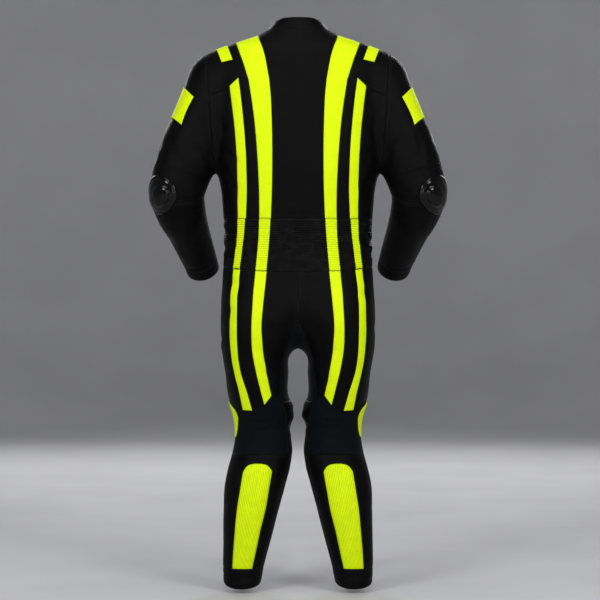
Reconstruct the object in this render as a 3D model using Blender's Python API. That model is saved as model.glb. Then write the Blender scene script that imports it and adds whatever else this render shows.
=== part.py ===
"""A one-piece leather motorcycle race suit, filled out and hollow, cut into the panels that a maker sews.

The origin is where the suit hangs on the wearer's shoulders, at the middle of the shoulder line. +Z is up,
the zip is at the front, towards -Y, and the suit's own left side is +X. Every panel is a leather wall whose
outer face lies on one smooth body surface, and seams between panels are open by seamGap.
"""

import math

import bmesh
import bpy
import numpy as np
from mathutils import Matrix

leather = 0.0015  # wall of a leather panel
stretch = 0.0012  # wall of a stretch-fabric panel
seamGap = 0.0003  # between two panels that are sewn together
zipHalf = 0.010  # from the zip's middle to the edge of the leather beside it
sameLength = 0.00001  # two diagonals of a face count as equal within this

# Sections of the trunk, from the collar's top to the hips. mid is the middle of the section in Y.
torsoColumns = ("z", "half", "back", "front", "mid", "power")
torsoRows = (
    (0.090, 0.0500, 0.056, 0.056, -0.021, 2.1),
    (0.076, 0.0517, 0.057, 0.057, -0.018, 2.1),
    (0.062, 0.0640, 0.060, 0.060, -0.014, 2.1),
    (0.047, 0.0787, 0.065, 0.062, -0.010, 2.1),
    (0.032, 0.1080, 0.073, 0.065, -0.007, 2.1),
    (0.017, 0.1500, 0.084, 0.068, -0.004, 2.1),
    (0.003, 0.1840, 0.094, 0.070, -0.002, 2.2),
    (-0.020, 0.2080, 0.105, 0.077, 0.000, 2.3),
    (-0.060, 0.2140, 0.118, 0.090, 0.000, 2.4),
    (-0.120, 0.2120, 0.128, 0.108, 0.000, 2.4),
    (-0.200, 0.2060, 0.131, 0.122, 0.000, 2.4),
    (-0.298, 0.1980, 0.126, 0.126, 0.000, 2.4),
    (-0.340, 0.1890, 0.120, 0.123, 0.000, 2.4),
    (-0.379, 0.1850, 0.114, 0.119, 0.000, 2.4),
    (-0.440, 0.1810, 0.106, 0.113, 0.000, 2.4),
    (-0.500, 0.1810, 0.106, 0.110, 0.000, 2.4),
    (-0.560, 0.1840, 0.115, 0.111, 0.000, 2.4),
    (-0.620, 0.1890, 0.126, 0.111, 0.000, 2.4),
)

# Sections of one leg. Above the crotch the two legs' sections overlap and run together as the hips.
legColumns = ("z", "centre", "half", "back", "front", "mid", "power")
legRows = (
    (-0.480, 0.0580, 0.1230, 0.105, 0.111, 0.000, 2.3),
    (-0.560, 0.0620, 0.1220, 0.117, 0.111, 0.000, 2.3),
    (-0.620, 0.0720, 0.1160, 0.130, 0.111, 0.000, 2.3),
    (-0.665, 0.0830, 0.1060, 0.133, 0.109, 0.000, 2.2),
    (-0.700, 0.0920, 0.0965, 0.127, 0.106, 0.000, 2.2),
    (-0.730, 0.0990, 0.0890, 0.118, 0.103, 0.000, 2.1),
    (-0.755, 0.1035, 0.0805, 0.111, 0.102, 0.000, 2.1),
    (-0.792, 0.1010, 0.0770, 0.104, 0.101, -0.003, 2.1),
    (-0.851, 0.0975, 0.0735, 0.092, 0.094, -0.010, 2.1),
    (-0.873, 0.0915, 0.0750, 0.087, 0.093, -0.013, 2.1),
    (-0.893, 0.0874, 0.0726, 0.082, 0.092, -0.016, 2.1),
    (-0.930, 0.0870, 0.0670, 0.073, 0.088, -0.020, 2.1),
    (-0.990, 0.0890, 0.0720, 0.077, 0.077, -0.014, 2.1),
    (-1.028, 0.0960, 0.0750, 0.082, 0.072, -0.006, 2.1),
    (-1.070, 0.1058, 0.0738, 0.082, 0.069, 0.001, 2.1),
    (-1.130, 0.1150, 0.0665, 0.074, 0.064, 0.010, 2.1),
    (-1.200, 0.1245, 0.0580, 0.062, 0.058, 0.018, 2.1),
    (-1.265, 0.1333, 0.0497, 0.054, 0.053, 0.022, 2.1),
    (-1.330, 0.1375, 0.0430, 0.048, 0.047, 0.024, 2.1),
)
hipsBlend = (-0.500, -0.600)  # the trunk's sections give way to the legs' sections between these heights
thighBlend = 0.050  # how softly the two legs run together
armBlend = 0.022  # how softly the arm runs into the trunk

# The arm's middle line and its radius, from inside the shoulder to past the cuff.
armColumns = ("x", "y", "z", "radius")
armRows = (
    (0.1980, 0.000, -0.081, 0.0725),
    (0.2130, 0.003, -0.126, 0.0735),
    (0.2350, 0.006, -0.182, 0.0735),
    (0.2620, 0.010, -0.241, 0.0725),
    (0.2830, 0.014, -0.300, 0.0700),
    (0.2960, 0.012, -0.352, 0.0665),
    (0.2885, -0.012, -0.398, 0.0600),
    (0.2740, -0.050, -0.438, 0.0515),
    (0.2605, -0.090, -0.477, 0.0465),
    (0.2470, -0.132, -0.517, 0.0425),
    (0.2380, -0.166, -0.551, 0.0400),
)

# Where the four stripe seams cross the back, measured sideways from the middle.
stripeColumns = ("z", "wideInner", "wideOuter", "narrowInner", "narrowOuter")
stripeRows = (
    (-0.020, 0.0812, 0.1415, 0.1480, 0.1760),
    (-0.044, 0.0763, 0.1304, 0.1460, 0.1720),
    (-0.084, 0.0689, 0.1193, 0.1434, 0.1673),
    (-0.123, 0.0652, 0.1132, 0.1378, 0.1624),
    (-0.182, 0.0627, 0.1050, 0.1316, 0.1550),
    (-0.241, 0.0615, 0.0996, 0.1267, 0.1500),
    (-0.300, 0.0615, 0.0959, 0.1242, 0.1469),
    (-0.379, 0.0635, 0.0935, 0.1242, 0.1464),
    (-0.458, 0.0677, 0.0947, 0.1292, 0.1469),
    (-0.517, 0.0726, 0.0996, 0.1365, 0.1538),
    (-0.576, 0.0782, 0.1058, 0.1439, 0.1611),
    (-0.625, 0.0831, 0.1090, 0.1469, 0.1636),
    (-0.684, 0.0873, 0.1119, 0.1476, 0.1656),
    (-0.733, 0.0836, 0.1107, 0.1464, 0.1636),
    (-0.772, 0.0787, 0.1046, 0.1427, 0.1587),
    (-0.812, 0.0713, 0.0959, 0.1328, 0.1500),
    (-0.851, 0.0627, 0.0861, 0.1193, 0.1402),
    (-0.886, 0.0550, 0.0775, 0.1107, 0.1341),
)

# Heights of the cross seams at each stripe seam, from the middle of the back to the side.
stripeNames = stripeColumns[1:]
lumbarEdges = ("middle", *stripeNames, "side")
crossNames = ("Middle", "Wide", "Strip", "Narrow", "Side")  # parts of a cross seam, from the middle outwards
crossCounts = (4, 1, 1, 1, 2)  # and their segments
lumbarTop = -0.418
waistAtMiddle = -0.546
waistAtSide = -0.534
yokeHeight = {"wideOuter": -0.084, "narrowInner": -0.079, "narrowOuter": -0.098}
stripeEnd = {"wideInner": -0.846, "wideOuter": -0.870, "narrowInner": -0.884, "narrowOuter": -0.883}
calfTop = -0.990
hemTop = -1.267
hemBottom = -1.302
hemDip = 0.015  # the back of the hem hangs lower than its sides by this much

# The yellow calf panel's two long edges, sideways from the middle.
calfColumns = ("z", "inner", "outer")
calfRows = (
    (-1.031, 0.0618, 0.1335),
    (-1.087, 0.0713, 0.1427),
    (-1.127, 0.0787, 0.1488),
    (-1.166, 0.0886, 0.1525),
    (-1.205, 0.0972, 0.1562),
    (-1.267, 0.1107, 0.1600),
)
calfArch = ((0.0705, -1.0185), (0.0965, -1.0118), (0.1240, -1.0185))

# The neckline and the collar's top edge: height at each angle round the neck, 90 behind and -90 in front.
collarColumns = ("angle", "neckline", "top")
collarRows = (
    (90, 0.047, 0.0765),
    (45, 0.047, 0.0760),
    (0, 0.043, 0.0700),
    (-45, 0.018, 0.0510),
    (-90, -0.012, 0.0340),
)
ridgeForward = -0.012  # the shoulder seam lies this far in front of the shoulder line at the neck

# Seams round the legs, as the angle round the leg at a height: 0 outside, 90 behind, 180 inside.
outerSeam = ((-0.534, 0), (-0.620, -4), (-0.720, -8), (-0.800, -4), (-0.858, 8))
kneeOuterSeam = (
    (-0.858, 8),
    (-0.876, 32),
    (-0.897, 41),
    (-0.920, 37),
    (-0.945, 28),
    (-0.967, 17),
    (-0.990, 10),
)
calfOuterSeam = ((-0.990, 10), (-1.060, 2), (-1.150, -2), (-1.267, 0))
kneeInnerSeam = ((-0.862, 128), (-0.900, 142), (-0.945, 150), (-0.990, 152))
calfInnerSeam = ((-0.990, 152), (-1.070, 158), (-1.160, 162), (-1.267, 165))
innerBackSeam = ((0.018, -0.705), (0.034, -0.755), (0.042, -0.810))
innerFrontSeam = ((0.020, -0.700), (0.038, -0.750), (0.046, -0.810), (0.046, -0.862))
crotchFan = (-27.0, -153.0)  # the crotch seam's two ends, as angles below level seen from the side
crotchCentre = (0.0, -0.600)  # Y and Z of the point that those angles are measured at
zipBottom = -0.620

armholeLean = 0.075  # how far the armhole's plane moves out for each metre up
armholeCentre = -0.150
armpitPivot = (0.2000, -0.328)  # X and Z of the line that the sleeve's first rings fan about
fanTurn = 70.0  # degrees that those rings turn through
fanEndAt = 3.45  # where the last of them crosses the arm's line, as a position along armRows
fanRows = 4
upperRows = 3
foreRows = 5
cuffRows = 1
sleeveColumns = 16
yokeColumn = 3  # the yoke seam meets the armhole at this column, counted back from its top
elbowAt = 5.15  # the elbow seam, the cuff seam and the sleeve's end, as positions along armRows
cuffAt = 9.05
sleeveEndAt = 9.62

# Patches laid on the panels. Corners of the shoulder patch, sideways and up, round from its low inner one.
shoulderPatch = ((0.1575, -0.034), (0.1845, -0.039), (0.1990, -0.003), (0.1720, 0.006))
shoulderPatchColumns = 4
# Upper and lower edge of the arm patch: position along the sleeve at its middle and at its ends, and half
# of its angle round the sleeve.
armPatch = ((0.205, 0.143, 54.0), (0.430, 0.380, 75.5))
armPatchRows = 4
armPatchColumns = 11
# Rows of the knee patch: height, rear angle and front angle.
kneePatch = (
    (-0.864, 12, -4),
    (-0.878, 31, -26),
    (-0.897, 38, -36),
    (-0.920, 34, -36),
    (-0.940, 27, -24),
    (-0.952, 20, -8),
)
kneePatchColumns = 6
patchWall = 0.0012
# From the body surface to each patch's underside, clear of the flat facets of the panel below.
shoulderPatchLift = 0.0024
armPatchLift = 0.0014
kneePatchLift = 0.0026

# Elbow guard: its outline and the rise of its outer face above the sleeve, from the rim to the middle.
guardCentre = (4.98, 51.0)  # position along armRows and angle from the sleeve's outer side
guardHalfHeight = 0.0275
guardHalfWidth = 45.0  # degrees round the sleeve
guardTail = 1.10  # its lower end is longer than its upper end by this much
guardTaper = 0.45  # and narrows by this much
guardStep = 0.055  # length of one step of armRows at the elbow
guardSides = 14
guardLift = 0.0010
guardWall = 0.0030
guardDome = 0.0125
guardProfile = (
    (1.0, 0.0030),
    (0.80, 0.0050),
    (0.56, 0.0060),
    (0.46, 0.0095),
    (0.26, 0.0118),
)

# Zip slider and its pull tab.
sliderSize = (0.010, 0.0035, 0.015)
sliderHeight = 0.0235
sliderLift = 0.0009
weldDepth = 0.0005  # joined blocks run into each other by this much
lugReach = 0.0024
lugWidth = 0.0016
lugGap = 0.0004
barRadius = 0.0009
eyeGap = 0.0004
eyeWall = 0.0010
tabWidth = 0.0030
tabNeck = 0.0016  # the tab stays this narrow past its eye, so that it swings between the lugs
tabPlate = (0.0075, 0.0016, 0.0254)


def column(table, names, name):
    return np.array([row[names.index(name)] for row in table], dtype=float)


def smoothTable(keys, values, samples=600):
    """A cubic curve through the rows, as fine samples that np.interp can read."""
    order = np.argsort(keys)
    keys, values = keys[order], values[order]
    steps = np.diff(keys)
    chords = np.diff(values) / steps
    slopes = np.empty_like(values)
    slopes[1:-1] = (chords[:-1] * steps[1:] + chords[1:] * steps[:-1]) / (steps[1:] + steps[:-1])
    slopes[0], slopes[-1] = chords[0], chords[-1]
    at = np.linspace(keys[0], keys[-1], samples)
    cell = np.clip(np.searchsorted(keys, at, side="right") - 1, 0, len(steps) - 1)
    u = (at - keys[cell]) / steps[cell]
    h = steps[cell]
    curve = (
        (1 + 2 * u) * (1 - u) ** 2 * values[cell]
        + u * (1 - u) ** 2 * h * slopes[cell]
        + u * u * (3 - 2 * u) * values[cell + 1]
        + u * u * (u - 1) * h * slopes[cell + 1]
    )
    return at, curve


def tableReader(table, names, key="z"):
    """A function that reads any column of the table at any height."""
    keys = column(table, names, key)
    curves = {name: smoothTable(keys, column(table, names, name)) for name in names if name != key}
    return lambda name, at: np.interp(at, *curves[name])


torso = tableReader(torsoRows, torsoColumns)
leg = tableReader(legRows, legColumns)
stripes = tableReader(stripeRows, stripeColumns)
calf = tableReader(calfRows, calfColumns)
collar = tableReader(collarRows, collarColumns, "angle")
armSteps = np.arange(len(armRows), dtype=float)
armCurves = {name: smoothTable(armSteps, column(armRows, armColumns, name)) for name in armColumns}


def armLine(at):
    return np.stack([np.interp(at, *armCurves[name]) for name in ("x", "y", "z")], axis=-1)


def smoothStep(value, start, end):
    t = np.clip((value - start) / (end - start), 0, 1)
    return t * t * (3 - 2 * t)


def softUnion(first, second, softness):
    share = np.clip(0.5 + 0.5 * (second - first) / softness, 0, 1)
    return second * (1 - share) + first * share - softness * share * (1 - share)


def ovalField(x, y, half, back, front, power):
    depth = np.where(y > 0, back, front)
    reach = (np.abs(x / half) ** power + np.abs(y / depth) ** power) ** (1 / power)
    return (reach - 1) * np.minimum(half, depth)


armKnots = armLine(np.linspace(0, len(armRows) - 1, 34))
armRadii = np.interp(np.linspace(0, len(armRows) - 1, 34), *armCurves["radius"])


def armField(points):
    """Distance to a tube of changing radius about the arm's line, with a round end inside the shoulder."""
    best = np.full(points.shape[:-1], 1.0)
    for a, b, ra, rb in zip(armKnots[:-1], armKnots[1:], armRadii[:-1], armRadii[1:]):
        along = b - a
        t = np.clip(((points - a) @ along) / (along @ along), 0, 1)
        gap = points - a - t[..., None] * along
        best = np.minimum(best, np.sqrt((gap * gap).sum(-1)) - (ra + (rb - ra) * t))
    return best


def bodyField(points):
    """Negative inside the suit's smooth body, zero on its surface. It serves the half with X above zero."""
    x, y, z = points[..., 0], points[..., 1], points[..., 2]
    trunk = ovalField(
        x, y - torso("mid", z), torso("half", z), torso("back", z), torso("front", z), torso("power", z)
    )
    legSizes = (leg("half", z), leg("back", z), leg("front", z), leg("power", z))
    legY = y - leg("mid", z)
    left = ovalField(x - leg("centre", z), legY, *legSizes)
    right = ovalField(x + leg("centre", z), legY, *legSizes)
    hips = smoothStep(z, *hipsBlend)
    field = trunk * (1 - hips) + softUnion(left, right, thighBlend) * hips
    near = (x > 0.10) & (z > -0.62)
    if near.any():
        field = field.copy()
        field[near] = softUnion(field[near], armField(points[near]), armBlend)
    return field


def cast(origins, directions, far, steps=18):
    """The first place where each ray leaves the body."""
    origins = np.asarray(origins, dtype=float)
    directions = np.asarray(directions, dtype=float)
    low = np.zeros(directions.shape[:-1])
    high = np.full(directions.shape[:-1], far)
    found = np.zeros(directions.shape[:-1], dtype=bool)
    for reach in np.linspace(far / steps, far, steps):
        outside = bodyField(origins + directions * reach) > 0
        first = outside & ~found
        high[first] = reach
        found |= outside
        low[~found] = reach
    for _ in range(22):
        middle = (low + high) / 2
        outside = bodyField(origins + directions * middle[..., None]) > 0
        high = np.where(outside, middle, high)
        low = np.where(outside, low, middle)
    return origins + directions * ((low + high) / 2)[..., None]


def axisAt(z):
    """The upright line that angles are measured about: mid-body down to the hips, then inside the leg."""
    share = smoothStep(z, -0.56, -0.74)
    x = share * leg("centre", z)
    y = torso("mid", np.maximum(z, -0.6)) * (1 - share) + leg("mid", z) * share
    return np.stack([x, y, z], axis=-1)


def fromChart(chart):
    """Points on the body for rows of (angle in degrees, height)."""
    angle = np.radians(chart[..., 0])
    rays = np.stack([np.cos(angle), np.sin(angle), np.zeros_like(angle)], axis=-1)
    return cast(axisAt(chart[..., 1]), rays, 0.32)


def toChart(points, around):
    """(angle, height) of points, with each angle within half a turn of around."""
    offset = points - axisAt(points[..., 2])
    angle = np.degrees(np.arctan2(offset[..., 1], offset[..., 0]))
    angle = around + (angle - around + 180) % 360 - 180
    return np.stack([angle, points[..., 2]], axis=-1)


def behind(x, z, front=False):
    """The point of the back, or of the front, that lies x from the middle at height z."""
    single = np.ndim(x) == 0
    x, z = np.broadcast_arrays(np.atleast_1d(x).astype(float), np.atleast_1d(z).astype(float))
    low = np.zeros(x.shape)
    high = np.full(x.shape, 180.0)
    for _ in range(26):
        middle = (low + high) / 2
        found = fromChart(np.stack([-middle if front else middle, z], axis=-1))
        outer = found[..., 0] > x
        low = np.where(outer, middle, low)
        high = np.where(outer, high, middle)
    middle = (low + high) / 2
    points = fromChart(np.stack([-middle if front else middle, z], axis=-1))
    points[..., 0] = x
    return points[0] if single else points


def onShoulder(x, y):
    """The point on top of the shoulder, x from the middle and y behind the shoulder line."""
    start = np.array([x, y, -0.06])
    return cast(start[None], np.array([[0.0, 0.0, 1.0]]), 0.2)[0]


def slopeAt(points):
    step = 0.0005
    sides = [(bodyField(points + axis * step), bodyField(points - axis * step)) for axis in np.eye(3)]
    return np.stack([(more - less) / (2 * step) for more, less in sides], axis=-1)


def settle(points):
    """Moves points that are near the body onto it, straight out or in."""
    for _ in range(5):
        slope = slopeAt(points)
        points = points - slope * (bodyField(points) / (slope * slope).sum(-1))[..., None]
    return points


def spread(points, count):
    """A smooth seam through the points, as count + 1 points evenly apart on the body."""
    points = np.asarray(points, dtype=float)
    gaps = np.sqrt((np.diff(points, axis=0) ** 2).sum(-1))
    along = np.concatenate([[0], np.cumsum(gaps)])
    if len(points) > 2:
        curve = np.stack([smoothTable(along, points[:, k], 400)[1] for k in range(3)], axis=-1)
    else:
        curve = points[0] + (points[1] - points[0]) * np.linspace(0, 1, 400)[:, None]
    along = np.concatenate([[0], np.cumsum(np.sqrt((np.diff(curve, axis=0) ** 2).sum(-1)))])
    at = np.linspace(0, along[-1], count + 1)
    even = np.stack([np.interp(at, along, curve[:, k]) for k in range(3)], -1)
    if count > 1:
        even[1:-1] = settle(even[1:-1])
    return even


def chartLine(start, end, count, around):
    """A seam that runs straight in angle and height from one point to another."""
    ends = toChart(np.stack([start, end]), around)
    chart = ends[0] + (ends[1] - ends[0]) * np.linspace(0, 1, count + 1)[:, None]
    line = fromChart(chart)
    line[0], line[-1] = start, end
    return line


def joined(*seams):
    """Seams end to end, as one side of a panel."""
    return np.concatenate([seams[0]] + [seam[1:] for seam in seams[1:]])


def patch(south, north, west, east, around=None):
    """A grid of points on the body between four seams. Rows run south to north, columns west to east.

    The inner points run evenly in height and in angle, each within half a turn of around. Without around
    they run evenly in space instead, for panels that go over the level top of the shoulder.
    """
    u = np.linspace(0, 1, len(south))[None, :, None]
    v = np.linspace(0, 1, len(west))[:, None, None]
    s, n, w, e = [side if around is None else toChart(side, around) for side in (south, north, west, east)]
    corners = (1 - u) * (1 - v) * s[0] + u * (1 - v) * s[-1] + (1 - u) * v * n[0] + u * v * n[-1]
    inner = ((1 - v) * s[None] + v * n[None] + (1 - u) * w[:, None] + u * e[:, None] - corners)[1:-1, 1:-1]
    grid = np.empty((len(west), len(south), 3))
    if inner.size:
        grid[1:-1, 1:-1] = settle(inner) if around is None else fromChart(inner)
    grid[0], grid[-1], grid[:, 0], grid[:, -1] = south, north, west, east
    return grid


def mirrored(grid):
    """The same grid on the suit's other side, with its columns in the opposite order."""
    return (grid * np.array([-1.0, 1.0, 1.0]))[:, ::-1]


# ---------------------------------------------------------------- sleeve rings


def sleeveFrame(at):
    """Centre, outward direction and backward direction of the ring at a position along the sleeve."""
    lean = math.atan(armholeLean)
    turn = lean + math.radians(fanTurn) * min(at, 1.0)
    outward = np.array([math.sin(turn), 0.0, math.cos(turn)])
    backward = np.array([0.0, 1.0, 0.0])
    if at <= 1:
        pivot = np.array([armpitPivot[0], 0.0, armpitPivot[1]])
        end = lean + math.radians(fanTurn)
        first = (armholeCentre - armpitPivot[1]) / math.cos(lean)
        last = (armLine(fanEndAt) - pivot) @ np.array([math.sin(end), 0.0, math.cos(end)])
        centre = pivot + outward * (first + (last - first) * at)
        centre[1] = armLine(fanEndAt)[1] * at
        return centre, outward, backward
    position = fanEndAt + (at - 1) * (sleeveEndAt - fanEndAt)
    along = armLine(position + 0.05) - armLine(position - 0.05)
    along /= np.linalg.norm(along)
    square = outward - (outward @ along) * along
    square /= np.linalg.norm(square)
    share = smoothStep(at, 1.0, 1.15)
    outward = square * share + outward * (1 - share)
    outward /= np.linalg.norm(outward)
    backward = np.cross(square, along) * share + backward * (1 - share)
    backward -= (backward @ outward) * outward
    return armLine(position), outward, backward / np.linalg.norm(backward)


def sleevePoints(at, angles):
    """Points of the sleeve at a position along it, at angles from its outer side towards its back."""
    centre, outward, backward = sleeveFrame(at)
    turn = np.radians(np.asarray(angles, dtype=float))
    rays = np.cos(turn)[:, None] * outward + np.sin(turn)[:, None] * backward
    return cast(np.broadcast_to(centre, rays.shape), rays, 0.20, 40)


def sleevePosition(armPosition):
    return 1 + (armPosition - fanEndAt) / (sleeveEndAt - fanEndAt)


def sleeveTube(positions):
    angles = np.linspace(0, 360, sleeveColumns + 1)
    grid = np.stack([sleevePoints(at, angles) for at in positions])
    grid[:, -1] = grid[:, 0]
    return grid


# ---------------------------------------------------------------- solids


def outwardAt(points):
    """The direction out of the body surface at each point, on either side of the suit."""
    side = np.where(points[..., :1] < 0, -1.0, 1.0)
    flip = np.concatenate([side, np.ones_like(side), np.ones_like(side)], axis=-1)
    slope = slopeAt(points * flip)
    return slope / np.linalg.norm(slope, axis=-1, keepdims=True) * flip


def weld(grids):
    """One list of points and faces from grids that share edges."""
    found, points, faces = {}, [], []
    for grid in grids:
        rows, columns = grid.shape[:2]
        index = np.empty((rows, columns), dtype=int)
        for i in range(rows):
            for j in range(columns):
                key = tuple(np.round(grid[i, j] * 20000).astype(int))
                if key not in found:
                    found[key] = len(points)
                    points.append(grid[i, j])
                index[i, j] = found[key]
        for i in range(rows - 1):
            for j in range(columns - 1):
                corners = (index[i, j], index[i, j + 1], index[i + 1, j + 1], index[i + 1, j])
                face = tuple(dict.fromkeys(corners))
                if len(face) > 2:
                    faces.append(face)
    return np.array(points), faces


def rims(faces):
    """The edges that only one face has, in that face's direction."""
    edges = [(face[k], face[(k + 1) % len(face)]) for face in faces for k in range(len(face))]
    known = set(edges)
    return [edge for edge in edges if (edge[1], edge[0]) not in known]


def pullIn(points, normals, faces, distance):
    """Draws a panel's edge in along the surface, so that a seam stays open."""
    inward = {}
    for a, b in rims(faces):
        run = points[b] - points[a]
        for end in (a, b):
            side = np.cross(normals[end], run)
            inward.setdefault(end, []).append(side / np.linalg.norm(side))
    moved = points.copy()
    for end, sides in inward.items():
        both = sum(sides)
        share = 1 + sides[0] @ sides[-1] if len(sides) > 1 else 1
        moved[end] += both * distance / max(share, 0.35)
    return moved


def order(point):
    """A key that ranks points by height, then by distance from the middle, alike on both sides."""
    return round(point[2], 5), round(abs(point[0]), 5), round(point[1], 5)


def halves(points, faces):
    """The faces as triangles, each four-cornered one cut along its shorter diagonal."""
    cut = []
    for face in faces:
        if len(face) == 3:
            cut.append(face)
            continue
        a, b, c, d = face
        gain = np.linalg.norm(points[b] - points[d]) - np.linalg.norm(points[a] - points[c])
        first = max(order(points[a]), order(points[c]))
        second = max(order(points[b]), order(points[d]))
        shorter = gain > 0 if abs(gain) > sameLength else first > second
        cut += [(a, b, c), (a, c, d)] if shorter else [(a, b, d), (b, c, d)]
    return cut


def wall(points, normals, faces, lift, thickness):
    """A closed wall: its outer face, its inner face and the rim, split alike on both sides of a seam."""
    count = len(points)
    outer = points + normals * (lift + (thickness if lift > 0 else 0))
    inner = outer - normals * thickness
    cut = halves(points, faces)
    solid = cut + [tuple(v + count for v in reversed(face)) for face in cut]
    for a, b in rims(faces):
        if order(points[a]) > order(points[b]):
            solid += [(b, a, b + count), (a, a + count, b + count)]
        else:
            solid += [(b, a, a + count), (b, a + count, b + count)]
    return np.concatenate([outer, inner]), solid


def makeObject(name, points, faces, material):
    mesh = bpy.data.meshes.new(name)
    build = bmesh.new()
    verts = [build.verts.new(point) for point in points]
    for face in faces:
        build.faces.new([verts[k] for k in face])
    if build.calc_volume(signed=True) < 0:
        bmesh.ops.reverse_faces(build, faces=build.faces)
    build.to_mesh(mesh)
    build.free()
    mesh.materials.append(material)
    thing = bpy.data.objects.new(name, mesh)
    bpy.context.collection.objects.link(thing)
    return thing


def turnedOut(points, normals, faces):
    """The faces in an order that makes them look outwards."""
    first, second, third = points[list(faces[0][:3])]
    outward = np.cross(second - first, third - second) @ normals[faces[0][0]]
    return [tuple(reversed(face)) for face in faces] if outward < 0 else faces


def sew(name, grids, material, thickness=leather, lift=0.0):
    """A cloth panel as a closed wall on the body surface, or lifted off it as a patch."""
    points, faces = weld(grids)
    normals = outwardAt(points)
    faces = turnedOut(points, normals, faces)
    points = pullIn(points, normals, faces, seamGap / 2)
    return makeObject(name, *wall(points, normals, faces, lift, thickness), material)


def sewPair(name, grids, material, **sizes):
    sew(name + "_left", grids, material, **sizes)
    sew(name + "_right", [mirrored(grid) for grid in grids], material, **sizes)


def sewAcross(name, grids, material, **sizes):
    sew(name, grids + [mirrored(grid) for grid in grids], material, **sizes)


# ---------------------------------------------------------------- seams


def stripeSeam(name, top, bottom, count):
    heights = np.linspace(bottom, top, max(4, round((top - bottom) / 0.03)) + 1)
    return spread(behind(stripes(name, heights), heights), count)


def legSeam(rows, count):
    chart = np.array([(angle, z) for z, angle in rows], dtype=float)
    return spread(fromChart(chart), count)[::-1]


def waistAt(name):
    share = {"wideInner": 0.35, "wideOuter": 0.5, "narrowInner": 0.72, "narrowOuter": 0.82}[name]
    return waistAtMiddle + (waistAtSide - waistAtMiddle) * share**3


def centreLine(top, bottom, count, front=False):
    heights = np.linspace(bottom, top, count + 1)
    return behind(np.zeros(count + 1), heights, front)


def neckLine(name, first, last, count):
    angles = np.linspace(first, last, count + 1)
    return fromChart(np.stack([angles, collar(name, angles)], axis=-1))


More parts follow.
